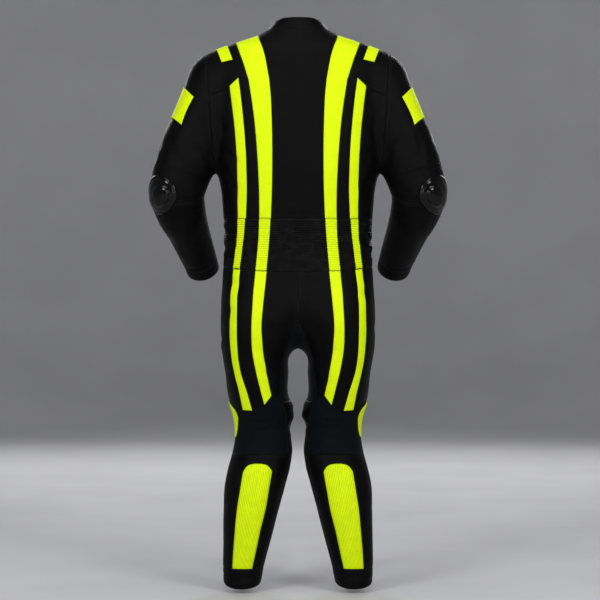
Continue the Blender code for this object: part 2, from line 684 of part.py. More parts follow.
def buildSeams():
    s = {}
    # armhole
    hole = sleevePoints(0.0, np.linspace(0, 360, sleeveColumns + 1))
    half = sleeveColumns // 2
    s["holeTop"] = hole[: yokeColumn + 1][::-1]
    s["holeBack"] = hole[yokeColumn : half + 1][::-1]
    s["holeFront"] = hole[half:]
    tip, armpit, yokeEnd = hole[0], hole[half], hole[yokeColumn]

    # neck and shoulder
    neckAngle = -9.0
    s["neckBack"] = neckLine("neckline", 90, neckAngle, 3)
    s["neckFront"] = neckLine("neckline", neckAngle, -90, 24)
    atZip = np.argmax(s["neckFront"][:, 0] < zipHalf)
    s["neckFront"] = spread(s["neckFront"][: atZip + 1], 4)
    zipTop = behind(zipHalf, s["neckFront"][-1][2], front=True)
    s["neckFront"][-1] = zipTop
    neckPoint = s["neckBack"][-1]
    s["neckBack"][0][0] = 0.0
    line = joined(s["neckBack"], s["neckFront"])
    for name, share in (("Low", 0.0), ("Middle", 0.5), ("Top", 1.0)):
        s["collar" + name] = line if share == 0 else collarRow(line, share)
    s["collarFront"] = np.stack([s["collar" + name][-1] for name in ("Low", "Middle", "Top")])
    wideRidge = {"wideInner": 0.0985, "wideOuter": 0.1520}
    ends = {}
    for name, x in wideRidge.items():
        y = ridgeForward * (tip[0] - x) / (tip[0] - neckPoint[0])
        ends[name] = onShoulder(x, y)
    s["ridgeNeck"] = spread([neckPoint, ends["wideInner"]], 1)
    s["ridgeWide"] = spread([ends["wideInner"], ends["wideOuter"]], 1)
    s["ridgeTip"] = chartLine(ends["wideOuter"], tip, 4, 0)

    # stripe seams on the back
    for name in ("wideInner", "wideOuter"):
        upper = np.array([-0.084, -0.065, -0.044, -0.020])
        over = [onShoulder(wideRidge[name] - 0.002, 0.045), onShoulder(wideRidge[name], 0.018), ends[name]]
        start = yokeHeight["wideOuter"]
        points = np.concatenate([behind(stripes(name, upper), upper), over])
        s[name + "Top"] = spread(points, 3)
        s[name + "Back"] = stripeSeam(name, start, lumbarTop, 7)
        s[name + "Top"][0] = s[name + "Back"][-1]
    for name in ("narrowInner", "narrowOuter"):
        s[name + "Back"] = stripeSeam(name, yokeHeight[name], lumbarTop, 7)
    for name in stripeNames:
        s[name + "Lumbar"] = stripeSeam(name, lumbarTop, waistAt(name), 3)
        s[name + "Hip"] = stripeSeam(name, waistAt(name), stripeEnd[name], 7)
        s[name + "Hip"][-1] = s[name + "Lumbar"][0]
        s[name + "Back"][0] = s[name + "Lumbar"][-1]
    s["sideUpper"] = spread([fromChart(np.array([[0.0, lumbarTop]]))[0], armpit], 2)
    s["sideLumbar"] = fromChart(np.stack([np.zeros(4), np.linspace(waistAtSide, lumbarTop, 4)], axis=-1))
    s["middleBack"] = centreLine(s["neckBack"][0][2], lumbarTop, 10)
    s["middleBack"][-1] = s["neckBack"][0]
    s["middleLumbar"] = centreLine(lumbarTop, waistAtMiddle, 3)

    # cross seams
    for level, pick in (("lumbarTop", -1), ("waist", 0)):
        points = [s[name + "Lumbar"][pick] for name in lumbarEdges]
        for name, first, last, count in zip(crossNames, points, points[1:], crossCounts):
            s[level + name] = chartLine(first, last, count, 60)
    s["yokeStrip"] = chartLine(s["wideOuterBack"][-1], s["narrowInnerBack"][-1], 1, 60)
    s["yokeNarrow"] = chartLine(s["narrowInnerBack"][-1], s["narrowOuterBack"][-1], 1, 60)
    s["yokeSide"] = chartLine(s["narrowOuterBack"][-1], yokeEnd, 2, 60)

    # crotch, seat and inner thigh
    fan = np.radians(np.linspace(crotchFan[0], crotchFan[1], 7))
    start = np.array([0.0, crotchCentre[0], crotchCentre[1]])
    rays = np.stack([np.zeros(7), np.cos(fan), np.sin(fan)], axis=-1)
    s["crotch"] = cast(np.broadcast_to(start, rays.shape), rays, 0.25)
    seatLow, frontLow = s["crotch"][0], s["crotch"][-1]
    s["middleSeat"] = centreLine(waistAtMiddle, seatLow[2], 3)
    s["middleSeat"][0] = seatLow
    kneeInner = legSeam(kneeInnerSeam, 3)
    backLine = [seatLow] + [behind(x, z) for x, z in innerBackSeam] + [kneeInner[-1]]
    s["innerBack"] = spread(backLine, 4)[::-1]
    frontLine = [frontLow] + [behind(x, z, front=True) for x, z in innerFrontSeam]
    s["innerFront"] = spread(frontLine, 4)[::-1]
    s["innerKnee"] = chartLine(s["innerBack"][0], s["innerFront"][0], 6, 180)

    # outside of the thigh, knee and calf
    s["outerThigh"] = legSeam(outerSeam, 7)
    s["outerThigh"][-1] = s["sideLumbar"][0]
    s["kneeOuter"] = legSeam(kneeOuterSeam, 3)
    s["kneeOuter"][-1] = s["outerThigh"][0]
    s["kneeInner"] = kneeInner
    s["calfOuter"] = legSeam(calfOuterSeam, 6)
    s["calfInner"] = legSeam(calfInnerSeam, 6)
    s["kneeOuter"][0], s["kneeInner"][0] = s["calfOuter"][-1], s["calfInner"][-1]
    points = [s["innerBack"][0]] + [s[name + "Hip"][0] for name in stripeNames] + [s["outerThigh"][0]]
    names = ("Seat", *crossNames[1:])
    for name, first, last, count in zip(names, points, points[1:], crossCounts):
        s["knee" + name] = chartLine(first, last, count, 80)

    # calf panel
    heights = np.linspace(hemTop, calfRows[0][0], 6)
    for name in ("inner", "outer"):
        s["calfPanel" + name] = behind(calf(name, heights), heights)
    arch = [s["calfPanelinner"][-1]] + [behind(x, z) for x, z in calfArch] + [s["calfPanelouter"][-1]]
    s["calfArch"] = np.array(arch)
    topInner = fromChart(toChart(behind(0.060, calfTop)[None], 90))[0]
    topOuter = fromChart(toChart(behind(0.130, calfTop)[None], 90))[0]
    s["calfTopInner"] = chartLine(s["calfInner"][-1], topInner, 3, 90)
    s["calfTopMiddle"] = chartLine(topInner, topOuter, 4, 90)
    s["calfTopOuter"] = chartLine(topOuter, s["calfOuter"][-1], 2, 90)
    s["bridgeInner"] = spread([s["calfPanelinner"][-1], topInner], 1)
    s["bridgeOuter"] = spread([s["calfPanelouter"][-1], topOuter], 1)
    s["hemInner"] = chartLine(s["calfInner"][0], s["calfPanelinner"][0], 3, 90)
    s["hemMiddle"] = chartLine(s["calfPanelinner"][0], s["calfPanelouter"][0], 4, 90)
    s["hemOuter"] = chartLine(s["calfPanelouter"][0], s["calfOuter"][0], 2, 90)
    s["hemFront"] = chartLine(s["calfOuter"][0], s["calfInner"][0], 12, -97)

    # front
    heights = np.linspace(waistAtSide, zipTop[2], 10)
    s["zipChest"] = behind(np.full(10, zipHalf), heights, front=True)
    s["zipChest"][-1] = zipTop
    heights = np.linspace(zipBottom, waistAtSide, 3)
    s["zipHips"] = behind(np.array([0.002, 0.006, zipHalf]), heights, front=True)
    s["middleFront"] = spread([frontLow, s["zipHips"][0]], 1)
    s["waistFront"] = chartLine(s["zipHips"][-1], s["sideLumbar"][0], 6, -60)
    s["kneeFront"] = chartLine(s["innerFront"][0], s["outerThigh"][0], 6, -80)
    return s


# ---------------------------------------------------------------- panels


def buildBack(s, black, yellow):
    middleNorth = joined(s["neckBack"], s["ridgeNeck"])
    inner = joined(s["wideInnerBack"], s["wideInnerTop"])
    outer = joined(s["wideOuterBack"], s["wideOuterTop"])
    sewAcross("back_centre", [patch(s["lumbarTopMiddle"], middleNorth, s["middleBack"], inner)], black)
    sewPair("back_wide_stripe", [patch(s["lumbarTopWide"], s["ridgeWide"], inner, outer)], yellow)
    strip = patch(s["lumbarTopStrip"], s["yokeStrip"], s["wideOuterBack"], s["narrowInnerBack"], 60)
    sewPair("back_strip", [strip], black)
    narrow = patch(s["lumbarTopNarrow"], s["yokeNarrow"], s["narrowInnerBack"], s["narrowOuterBack"], 50)
    sewPair("back_narrow_stripe", [narrow], yellow)
    sideEast = joined(s["sideUpper"], s["holeBack"])
    side = patch(s["lumbarTopSide"], s["yokeSide"], s["narrowOuterBack"], sideEast, 30)
    sewPair("side_back", [side], black)
    yoke = joined(s["yokeStrip"], s["yokeNarrow"], s["yokeSide"])
    sewPair("shoulder", [patch(yoke, s["ridgeTip"], s["wideOuterTop"], s["holeTop"])], black)


def buildLumbar(s, black, yellow):
    blocks = {}
    for name, west, east in zip(crossNames, lumbarEdges, lumbarEdges[1:]):
        edges = (s[west + "Lumbar"], s[east + "Lumbar"])
        blocks[name] = patch(s["waist" + name], s["lumbarTop" + name], *edges, 60)
    sewAcross("lumbar_accordion", list(blocks.values()), black)
    sewPair("lumbar_wide_stripe", [blocks["Wide"]], yellow, lift=seamGap)
    sewPair("lumbar_narrow_stripe", [blocks["Narrow"]], yellow, lift=seamGap)


def buildHips(s, black, yellow, cloth):
    seatWest = joined(s["innerBack"], s["middleSeat"])
    seat = patch(s["kneeSeat"], s["waistMiddle"], seatWest, s["wideInnerHip"], 90)
    sewPair("seat", [seat], black)
    panels = (
        ("hip_wide_stripe", "Wide", yellow),
        ("hip_strip", "Strip", black),
        ("hip_narrow_stripe", "Narrow", yellow),
    )
    for (name, part, material), west, east in zip(panels, stripeNames, stripeNames[1:]):
        grid = patch(s["knee" + part], s["waist" + part], s[west + "Hip"], s[east + "Hip"], 60)
        sewPair(name, [grid], material)
    outer = patch(s["kneeSide"], s["waistSide"], s["narrowOuterHip"], s["outerThigh"], 20)
    sewPair("outer_thigh", [outer], black)
    inner = patch(s["innerKnee"], s["crotch"], s["innerBack"], s["innerFront"], 180)
    sewPair("inner_thigh", [inner], cloth, thickness=stretch)


def buildLowerLeg(s, black, yellow, cloth):
    kneeTop = joined(s["kneeSeat"], s["kneeWide"], s["kneeStrip"], s["kneeNarrow"], s["kneeSide"])
    calfLine = joined(s["calfTopInner"], s["calfTopMiddle"], s["calfTopOuter"])
    knee = patch(calfLine, kneeTop, s["kneeInner"], s["kneeOuter"], 80)
    sewPair("knee_back", [knee], cloth, thickness=stretch)
    panelInner = joined(s["calfPanelinner"], s["bridgeInner"])
    panelOuter = joined(s["calfPanelouter"], s["bridgeOuter"])
    inner = patch(s["hemInner"], s["calfTopInner"], s["calfInner"], panelInner, 120)
    outer = patch(s["hemOuter"], s["calfTopOuter"], panelOuter, s["calfOuter"], 30)
    bridge = patch(s["calfArch"], s["calfTopMiddle"], s["bridgeInner"], s["bridgeOuter"], 90)
    sewPair("calf_back", [inner, bridge, outer], black)
    accordion = patch(s["hemMiddle"], s["calfArch"], s["calfPanelinner"], s["calfPanelouter"], 90)
    sewPair("calf_accordion", [accordion], yellow)
    shinTop = joined(s["innerKnee"], s["kneeFront"])
    shinSouth = s["hemFront"][::-1]
    west = joined(s["calfInner"], s["kneeInner"])
    east = joined(s["calfOuter"], s["kneeOuter"])
    shin = patch(shinSouth, shinTop, west, east, 260)
    sewPair("knee_and_shin", [shin], black)
    hem = joined(s["hemInner"], s["hemMiddle"], s["hemOuter"], s["hemFront"])
    chart = toChart(hem, 90)
    chart[:, 1] = hemBottom - hemDip * np.sin(np.radians(chart[:, 0]))
    low = fromChart(chart)
    low[-1] = low[0]
    sewPair("hem_band", [np.stack([low, hem])], black)


def buildFront(s, black):
    north = joined(s["ridgeNeck"], s["ridgeWide"], s["ridgeTip"])
    west = joined(s["zipChest"], s["neckFront"][::-1])
    east = joined(s["sideLumbar"], s["sideUpper"], s["holeFront"])
    sewPair("front_chest", [patch(s["waistFront"], north, west, east, -60)], black)
    west = joined(s["innerFront"], s["middleFront"], s["zipHips"])
    sewPair("front_thigh", [patch(s["kneeFront"], s["waistFront"], west, s["outerThigh"], -60)], black)


def collarRow(line, share):
    """The collar's points at a share of its height, from the middle of the back round to the zip."""
    angles = toChart(line, 0)[:, 0]
    heights = line[:, 2] * (1 - share) + collar("top", angles) * share
    row = fromChart(np.stack([angles, heights], axis=-1))
    row[0] = behind(0.0, heights[0])
    row[-1] = behind(zipHalf, heights[-1], front=True)
    return row


def buildCollar(s, black):
    grid = np.stack([s["collar" + part] for part in ("Low", "Middle", "Top")])
    sewAcross("collar", [grid], black)


def buildZip(s, tape):
    edge = joined(s["zipHips"], s["zipChest"], s["collarFront"])
    middle = behind(np.zeros(len(edge)), edge[:, 2], front=True)
    sewAcross("front_zip", [np.stack([middle, edge], axis=1)], tape)


def buildSleeves(black):
    elbow, cuff = sleevePosition(elbowAt), sleevePosition(cuffAt)
    upper = np.concatenate([np.linspace(0, 1, fanRows + 1), np.linspace(1, elbow, upperRows + 1)[1:]])
    sewPair("upper_sleeve", [sleeveTube(upper)], black)
    sewPair("forearm", [sleeveTube(np.linspace(elbow, cuff, foreRows + 1))], black)
    sewPair("cuff", [sleeveTube(np.linspace(cuff, 2, cuffRows + 1))], black)


def buildPatches(yellow):
    corners = np.array(shoulderPatch)
    share = np.linspace(0, 1, shoulderPatchColumns)
    across, up = share[None, :, None], share[:, None, None]
    low = corners[0] * (1 - across) + corners[1] * across
    high = corners[3] * (1 - across) + corners[2] * across
    flat = low * (1 - up) + high * up
    grid = behind(flat[..., 0], flat[..., 1])
    sewPair("shoulder_patch", [grid], yellow, thickness=patchWall, lift=shoulderPatchLift)
    edges = np.array(armPatch)
    aside = np.linspace(-1, 1, armPatchColumns)
    rows = []
    for share in np.linspace(0, 1, armPatchRows):
        middle, end, turn = edges[0] + (edges[1] - edges[0]) * share
        along = middle + (end - middle) * aside**2
        rows.append([sleevePoints(at, [turn * place])[0] for at, place in zip(along, aside)])
    sewPair("arm_patch", [np.array(rows)], yellow, thickness=patchWall, lift=armPatchLift)
    chart = [[(a, z) for a in np.linspace(front, rear, kneePatchColumns)] for z, rear, front in kneePatch]
    grid = fromChart(np.array(chart, dtype=float))
    sewPair("knee_patch", [grid], yellow, thickness=patchWall, lift=kneePatchLift)


def buildElbowGuards(shell):
    """A hard teardrop shell on the outside of each elbow, with a raised dome in its middle."""
    middle = guardCentre
    rings = []
    for reach, rise in guardProfile:
        ring = []
        for turn in np.linspace(0, 2 * math.pi, guardSides, endpoint=False):
            down = max(0.0, math.cos(turn))
            drop = guardHalfHeight * reach * math.cos(turn) * (guardTail if down else 1.0)
            width = guardHalfWidth * reach * math.sin(turn) * (1 - guardTaper * down**2)
            at = sleevePosition(middle[0] + drop / guardStep)
            ring.append(sleevePoints(at, [middle[1] + width])[0])
        rings.append((np.array(ring), rise))
    centre = sleevePoints(sleevePosition(middle[0]), [middle[1]])
    count = guardSides
    points = np.concatenate([ring for ring, _ in rings] + [centre])
    rises = np.concatenate([np.full(count, rise) for _, rise in rings] + [[guardDome]])
    normals = outwardAt(points)
    faces = []
    for r in range(len(rings) - 1):
        for k in range(count):
            a, b = r * count + k, r * count + (k + 1) % count
            faces.append((a, b, b + count, a + count))
    last, tip = (len(rings) - 1) * count, len(rings) * count
    faces += [(last + k, last + (k + 1) % count, tip) for k in range(count)]
    faces = turnedOut(points, normals, faces)
    outer = points + normals * rises[:, None]
    inner = points + normals * np.maximum(guardLift, rises - guardWall)[:, None]
    solid = faces + [tuple(v + len(points) for v in reversed(face)) for face in faces]
    solid += [(b, a, a + len(points), b + len(points)) for a, b in rims(faces)]
    both = np.concatenate([outer, inner])
    solid = halves(both, solid)
    makeObject("elbow_guard_left", both, solid, shell)
    flipped = [tuple(reversed(face)) for face in solid]
    makeObject("elbow_guard_right", both * np.array([-1.0, 1.0, 1.0]), flipped, shell)


def block(size, centre):
    """A box as a new bmesh."""
    build = bmesh.new()
    bmesh.ops.create_cube(build, size=1.0)
    bmesh.ops.scale(build, vec=size, verts=build.verts)
    bmesh.ops.translate(build, vec=centre, verts=build.verts)
    return build


def bar(radius, length, centre):
    """A round bar along X as a new bmesh."""
    build = bmesh.new()
    turn = Matrix.Rotation(math.pi / 2, 3, "Y")
    bmesh.ops.create_cone(build, cap_ends=True, segments=12, radius1=radius, radius2=radius, depth=length)
    bmesh.ops.rotate(build, matrix=turn, verts=build.verts)
    bmesh.ops.translate(build, vec=centre, verts=build.verts)
    return build


def solidObject(name, build, material, location=(0.0, 0.0, 0.0)):
    mesh = bpy.data.meshes.new(name)
    build.to_mesh(mesh)
    build.free()
    mesh.materials.append(material)
    thing = bpy.data.objects.new(name, mesh)
    thing.location = location
    bpy.context.collection.objects.link(thing)
    return thing


def combine(thing, other, operation):
    """Joins other to thing, or cuts it out of thing."""
    other.hide_render = True
    other.display_type = "WIRE"
    other.parent = thing
    change = thing.modifiers.new(operation.lower(), "BOOLEAN")
    change.operation = operation
    change.object = other
    change.solver = "EXACT"


def buildSlider(metal):
    """The zip's slider with a crossbar between two lugs, and the pull tab that hangs on the crossbar."""
    back = behind(0.0, sliderHeight, front=True)[1] - sliderLift
    depth = sliderSize[1]
    body = solidObject("zip_slider", block(sliderSize, (0, back - depth / 2, sliderHeight)), metal)
    pivotY = back - depth - lugReach
    pivotZ = sliderHeight - sliderSize[2] * 0.25
    lugMiddle = tabWidth / 2 + lugGap + lugWidth / 2
    for side in (-1, 1):
        lug = block(
            (lugWidth, lugReach + barRadius * 2 + weldDepth * 2, barRadius * 4),
            (side * lugMiddle, back - depth - (lugReach + weldDepth) / 2, pivotZ),
        )
        combine(body, solidObject("lug" + ("A" if side < 0 else "B"), lug, metal), "UNION")
    length = tabWidth + 2 * lugGap + lugWidth
    combine(body, solidObject("crossbar", bar(barRadius, length, (0, pivotY, pivotZ)), metal), "UNION")
    tab = solidObject("zip_pull_tab", bar(barRadius + eyeGap + eyeWall, tabWidth, (0, 0, 0)), metal)
    tab.location = (0, pivotY, pivotZ)
    neckTop = -barRadius - eyeGap - eyeWall / 2
    plateTop = neckTop - eyeWall / 2 - tabNeck
    neckSize = (tabWidth, tabPlate[1], neckTop - plateTop + weldDepth)
    neck = block(neckSize, (0, 0, (neckTop + plateTop) / 2))
    combine(tab, solidObject("neck", neck, metal), "UNION")
    plate = block(tabPlate, (0, 0, plateTop - tabPlate[2] / 2))
    combine(tab, solidObject("plate", plate, metal), "UNION")
    combine(tab, solidObject("eye", bar(barRadius + eyeGap, tabWidth * 2, (0, 0, 0)), metal), "DIFFERENCE")


def makeMaterial(name, colour, roughness, metallic=0.0):
    material = bpy.data.materials.new(name)
    material.use_nodes = True
    shader = material.node_tree.nodes["Principled BSDF"]
    shader.inputs["Base Color"].default_value = (*colour, 1.0)
    shader.inputs["Roughness"].default_value = roughness
    shader.inputs["Metallic"].default_value = metallic
    material.diffuse_color = (*colour, 1.0)
    return material


def main():
    for thing in list(bpy.data.objects):
        bpy.data.objects.remove(thing)
    black = makeMaterial("black_leather", (0.012, 0.012, 0.013), 0.45)
    yellow = makeMaterial("yellow_leather", (0.62, 0.95, 0.0), 0.5)
    cloth = makeMaterial("stretch_fabric", (0.010, 0.012, 0.018), 0.85)
    tape = makeMaterial("zip_tape", (0.015, 0.015, 0.017), 0.7)
    shell = makeMaterial("guard_shell", (0.010, 0.010, 0.010), 0.12)
    metal = makeMaterial("zip_metal", (0.30, 0.30, 0.32), 0.3, 1.0)
    s = buildSeams()
    buildBack(s, black, yellow)
    buildLumbar(s, black, yellow)
    buildHips(s, black, yellow, cloth)
    buildLowerLeg(s, black, yellow, cloth)
    buildFront(s, black)
    buildCollar(s, black)
    buildSleeves(black)
    buildZip(s, tape)
    buildPatches(yellow)
    buildElbowGuards(shell)
    buildSlider(metal)


main()
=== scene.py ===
# Leather race suit in its worn shape: cut panels, seams, stitching, ribs, folds and finishes.
import math

import bpy
import numpy as np
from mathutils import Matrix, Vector, noise
from mathutils.kdtree import KDTree


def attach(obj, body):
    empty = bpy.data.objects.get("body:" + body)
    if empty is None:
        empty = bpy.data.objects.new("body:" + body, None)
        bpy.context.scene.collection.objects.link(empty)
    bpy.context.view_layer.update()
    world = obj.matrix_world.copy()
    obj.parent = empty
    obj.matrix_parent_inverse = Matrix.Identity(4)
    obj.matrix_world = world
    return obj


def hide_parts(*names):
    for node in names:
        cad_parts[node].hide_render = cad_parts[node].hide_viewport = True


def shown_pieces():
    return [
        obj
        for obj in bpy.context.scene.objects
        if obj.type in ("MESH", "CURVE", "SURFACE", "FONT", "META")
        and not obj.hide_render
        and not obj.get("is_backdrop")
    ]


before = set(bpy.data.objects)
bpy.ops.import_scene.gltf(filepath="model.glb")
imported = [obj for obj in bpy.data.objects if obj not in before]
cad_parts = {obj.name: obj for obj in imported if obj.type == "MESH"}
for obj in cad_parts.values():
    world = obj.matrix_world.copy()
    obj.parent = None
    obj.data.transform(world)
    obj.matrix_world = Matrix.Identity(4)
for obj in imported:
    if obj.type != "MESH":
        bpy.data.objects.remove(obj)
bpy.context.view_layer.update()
print("frame:", len(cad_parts), "nodes")

mm = 0.001
leatherWall = 1.5 * mm
stretchWall = 1.2 * mm
zipHalf = 10 * mm

# body shape, from the same sections that the pattern was cut on
torsoColumns = ("z", "half", "back", "front", "mid", "power")
torsoRows = (
    (0.090, 0.0500, 0.056, 0.056, -0.021, 2.1),
    (0.076, 0.0517, 0.057, 0.057, -0.018, 2.1),
    (0.062, 0.0640, 0.060, 0.060, -0.014, 2.1),
    (0.047, 0.0787, 0.065, 0.062, -0.010, 2.1),
    (0.032, 0.1080, 0.073, 0.065, -0.007, 2.1),
    (0.017, 0.1500, 0.084, 0.068, -0.004, 2.1),
    (0.003, 0.1840, 0.094, 0.070, -0.002, 2.2),
    (-0.020, 0.2080, 0.105, 0.077, 0.000, 2.3),
    (-0.060, 0.2140, 0.118, 0.090, 0.000, 2.4),
    (-0.120, 0.2120, 0.128, 0.108, 0.000, 2.4),
    (-0.200, 0.2060, 0.131, 0.122, 0.000, 2.4),
    (-0.298, 0.1980, 0.126, 0.126, 0.000, 2.4),
    (-0.340, 0.1890, 0.120, 0.123, 0.000, 2.4),
    (-0.379, 0.1850, 0.114, 0.119, 0.000, 2.4),
    (-0.440, 0.1810, 0.106, 0.113, 0.000, 2.4),
    (-0.500, 0.1810, 0.106, 0.110, 0.000, 2.4),
    (-0.560, 0.1840, 0.115, 0.111, 0.000, 2.4),
    (-0.620, 0.1890, 0.126, 0.111, 0.000, 2.4),
)
legColumns = ("z", "centre", "half", "back", "front", "mid", "power")
legRows = (
    (-0.480, 0.0580, 0.1230, 0.105, 0.111, 0.000, 2.3),
    (-0.560, 0.0620, 0.1220, 0.117, 0.111, 0.000, 2.3),
    (-0.620, 0.0720, 0.1160, 0.130, 0.111, 0.000, 2.3),
    (-0.665, 0.0830, 0.1060, 0.133, 0.109, 0.000, 2.2),
    (-0.700, 0.0920, 0.0965, 0.127, 0.106, 0.000, 2.2),
    (-0.730, 0.0990, 0.0890, 0.118, 0.103, 0.000, 2.1),
    (-0.755, 0.1035, 0.0805, 0.111, 0.102, 0.000, 2.1),
    (-0.792, 0.1010, 0.0770, 0.104, 0.101, -0.003, 2.1),
    (-0.851, 0.0975, 0.0735, 0.092, 0.094, -0.010, 2.1),
    (-0.873, 0.0915, 0.0750, 0.087, 0.093, -0.013, 2.1),
    (-0.893, 0.0874, 0.0726, 0.082, 0.092, -0.016, 2.1),
    (-0.930, 0.0870, 0.0670, 0.073, 0.088, -0.020, 2.1),
    (-0.990, 0.0890, 0.0720, 0.077, 0.077, -0.014, 2.1),
    (-1.028, 0.0960, 0.0750, 0.082, 0.072, -0.006, 2.1),
    (-1.070, 0.1058, 0.0738, 0.082, 0.069, 0.001, 2.1),
    (-1.130, 0.1150, 0.0665, 0.074, 0.064, 0.010, 2.1),
    (-1.200, 0.1245, 0.0580, 0.062, 0.058, 0.018, 2.1),
    (-1.265, 0.1333, 0.0497, 0.054, 0.053, 0.022, 2.1),
    (-1.330, 0.1375, 0.0430, 0.048, 0.047, 0.024, 2.1),
)
hipsBlend = (-0.500, -0.600)
thighBlend = 0.050
armBlend = 0.022
armInside, armLow = 0.10, -0.62  # the arms shape nothing nearer the middle or lower
axisBlend = (-0.56, -0.74)  # the axis moves from the trunk to the leg between these heights
trunkAxisLow = -0.6
castReach = {"trunk": 0.32, "shoulder": 0.20, "sleeve": 0.20, "crotch": 0.25}
sleeveSteps = 40
curveSamples = 400
armColumns = ("x", "y", "z", "radius")
armRows = (
    (0.1980, 0.000, -0.081, 0.0725),
    (0.2130, 0.003, -0.126, 0.0735),
    (0.2350, 0.006, -0.182, 0.0735),
    (0.2620, 0.010, -0.241, 0.0725),
    (0.2830, 0.014, -0.300, 0.0700),
    (0.2960, 0.012, -0.352, 0.0665),
    (0.2885, -0.012, -0.398, 0.0600),
    (0.2740, -0.050, -0.438, 0.0515),
    (0.2605, -0.090, -0.477, 0.0465),
    (0.2470, -0.132, -0.517, 0.0425),
    (0.2380, -0.166, -0.551, 0.0400),
)

# stripe seams on the back, sideways from the middle
stripeColumns = ("z", "wideInner", "wideOuter", "narrowInner", "narrowOuter")
stripeRows = (
    (-0.020, 0.0812, 0.1415, 0.1480, 0.1760),
    (-0.044, 0.0763, 0.1304, 0.1460, 0.1720),
    (-0.084, 0.0689, 0.1193, 0.1434, 0.1673),
    (-0.123, 0.0652, 0.1132, 0.1378, 0.1624),
    (-0.182, 0.0627, 0.1050, 0.1316, 0.1550),
    (-0.241, 0.0615, 0.0996, 0.1267, 0.1500),
    (-0.300, 0.0615, 0.0959, 0.1242, 0.1469),
    (-0.379, 0.0635, 0.0935, 0.1242, 0.1464),
    (-0.458, 0.0677, 0.0947, 0.1292, 0.1469),
    (-0.517, 0.0726, 0.0996, 0.1365, 0.1538),
    (-0.576, 0.0782, 0.1058, 0.1439, 0.1611),
    (-0.625, 0.0831, 0.1090, 0.1469, 0.1636),
    (-0.684, 0.0873, 0.1119, 0.1476, 0.1656),
    (-0.733, 0.0836, 0.1107, 0.1464, 0.1636),
    (-0.772, 0.0787, 0.1046, 0.1427, 0.1587),
    (-0.812, 0.0713, 0.0959, 0.1328, 0.1500),
    (-0.851, 0.0627, 0.0861, 0.1193, 0.1402),
    (-0.886, 0.0550, 0.0775, 0.1107, 0.1341),
)
stripeStep = 0.03
lumbarTop = -0.418
waistAtMiddle = -0.546
waistAtSide = -0.534
yokeHeight = {"wideOuter": -0.084, "narrowInner": -0.079, "narrowOuter": -0.098}
stripeEnd = {"wideInner": -0.846, "wideOuter": -0.870, "narrowInner": -0.884, "narrowOuter": -0.883}
stripeNames = ("wideInner", "wideOuter", "narrowInner", "narrowOuter")
bandNames = ("Middle", "Wide", "Strip", "Narrow", "Side")
waistShares = {"wideInner": 0.35, "wideOuter": 0.5, "narrowInner": 0.72, "narrowOuter": 0.82}
neckAngle = -9.0  # where the shoulder ridge meets the neckline
ridgeAt = {"wideInner": 0.0985, "wideOuter": 0.1520}
ridgeOver = ((0.002, 0.045), (0.0, 0.018))  # towards the middle, and behind the ridge
yokeTopHeights = np.array([-0.084, -0.065, -0.044, -0.020])
calfTop = -0.990
calfTopSides = (0.060, 0.130)
hemTop = -1.267
hemBottom = -1.302
hemDip = 0.015
calfColumns = ("z", "inner", "outer")
calfRows = (
    (-1.031, 0.0618, 0.1335),
    (-1.087, 0.0713, 0.1427),
    (-1.127, 0.0787, 0.1488),
    (-1.166, 0.0886, 0.1525),
    (-1.205, 0.0972, 0.1562),
    (-1.267, 0.1107, 0.1600),
)
calfArch = ((0.0705, -1.0185), (0.0965, -1.0118), (0.1240, -1.0185))
collarColumns = ("angle", "neckline", "top")
collarRows = (
    (90, 0.047, 0.0765),
    (45, 0.047, 0.0760),
    (0, 0.043, 0.0700),
    (-45, 0.018, 0.0510),
    (-90, -0.012, 0.0340),
)
ridgeForward = -0.012
shoulderStart = -0.06  # height from which the shoulder line is looked for
outerSeam = ((-0.534, 0), (-0.620, -4), (-0.720, -8), (-0.800, -4), (-0.858, 8))
kneeOuterSeam = (
    (-0.858, 8),
    (-0.876, 32),
    (-0.897, 41),
    (-0.920, 37),
    (-0.945, 28),
    (-0.967, 17),
    (-0.990, 10),
)
calfOuterSeam = ((-0.990, 10), (-1.060, 2), (-1.150, -2), (-1.267, 0))
kneeInnerSeam = ((-0.862, 128), (-0.900, 142), (-0.945, 150), (-0.990, 152))
calfInnerSeam = ((-0.990, 152), (-1.070, 158), (-1.160, 162), (-1.267, 165))
innerBackSeam = ((0.018, -0.705), (0.034, -0.755), (0.042, -0.810))
innerFrontSeam = ((0.020, -0.700), (0.038, -0.750), (0.046, -0.810), (0.046, -0.862))
crotchFan = (-27.0, -153.0)
crotchCentre = (0.0, -0.600)
zipBottom = -0.620
zipEndHalf = (0.002, 0.006, zipHalf)
armholeLean = 0.075
armholeCentre = -0.150
armpitPivot = (0.2000, -0.328)
fanTurn = 70.0
fanEndAt = 3.45
fanSettled = 1.15  # the rings stand square to the arm from here on
frameStep = 0.05
sleeveColumns = 16
yokeColumn = 3
elbowAt = 5.15
cuffAt = 9.05
sleeveEndAt = 9.62
shoulderPatch = ((0.1575, -0.034), (0.1845, -0.039), (0.1990, -0.003), (0.1720, 0.006))
armPatch = ((0.205, 0.143, 54.0), (0.430, 0.380, 75.5))
kneePatch = (
    (-0.864, 12, -4),
    (-0.878, 31, -26),
    (-0.897, 38, -36),
    (-0.920, 34, -36),
    (-0.940, 27, -24),
    (-0.952, 20, -8),
)


def column(table, names, name):
    return np.array([row[names.index(name)] for row in table], dtype=float)


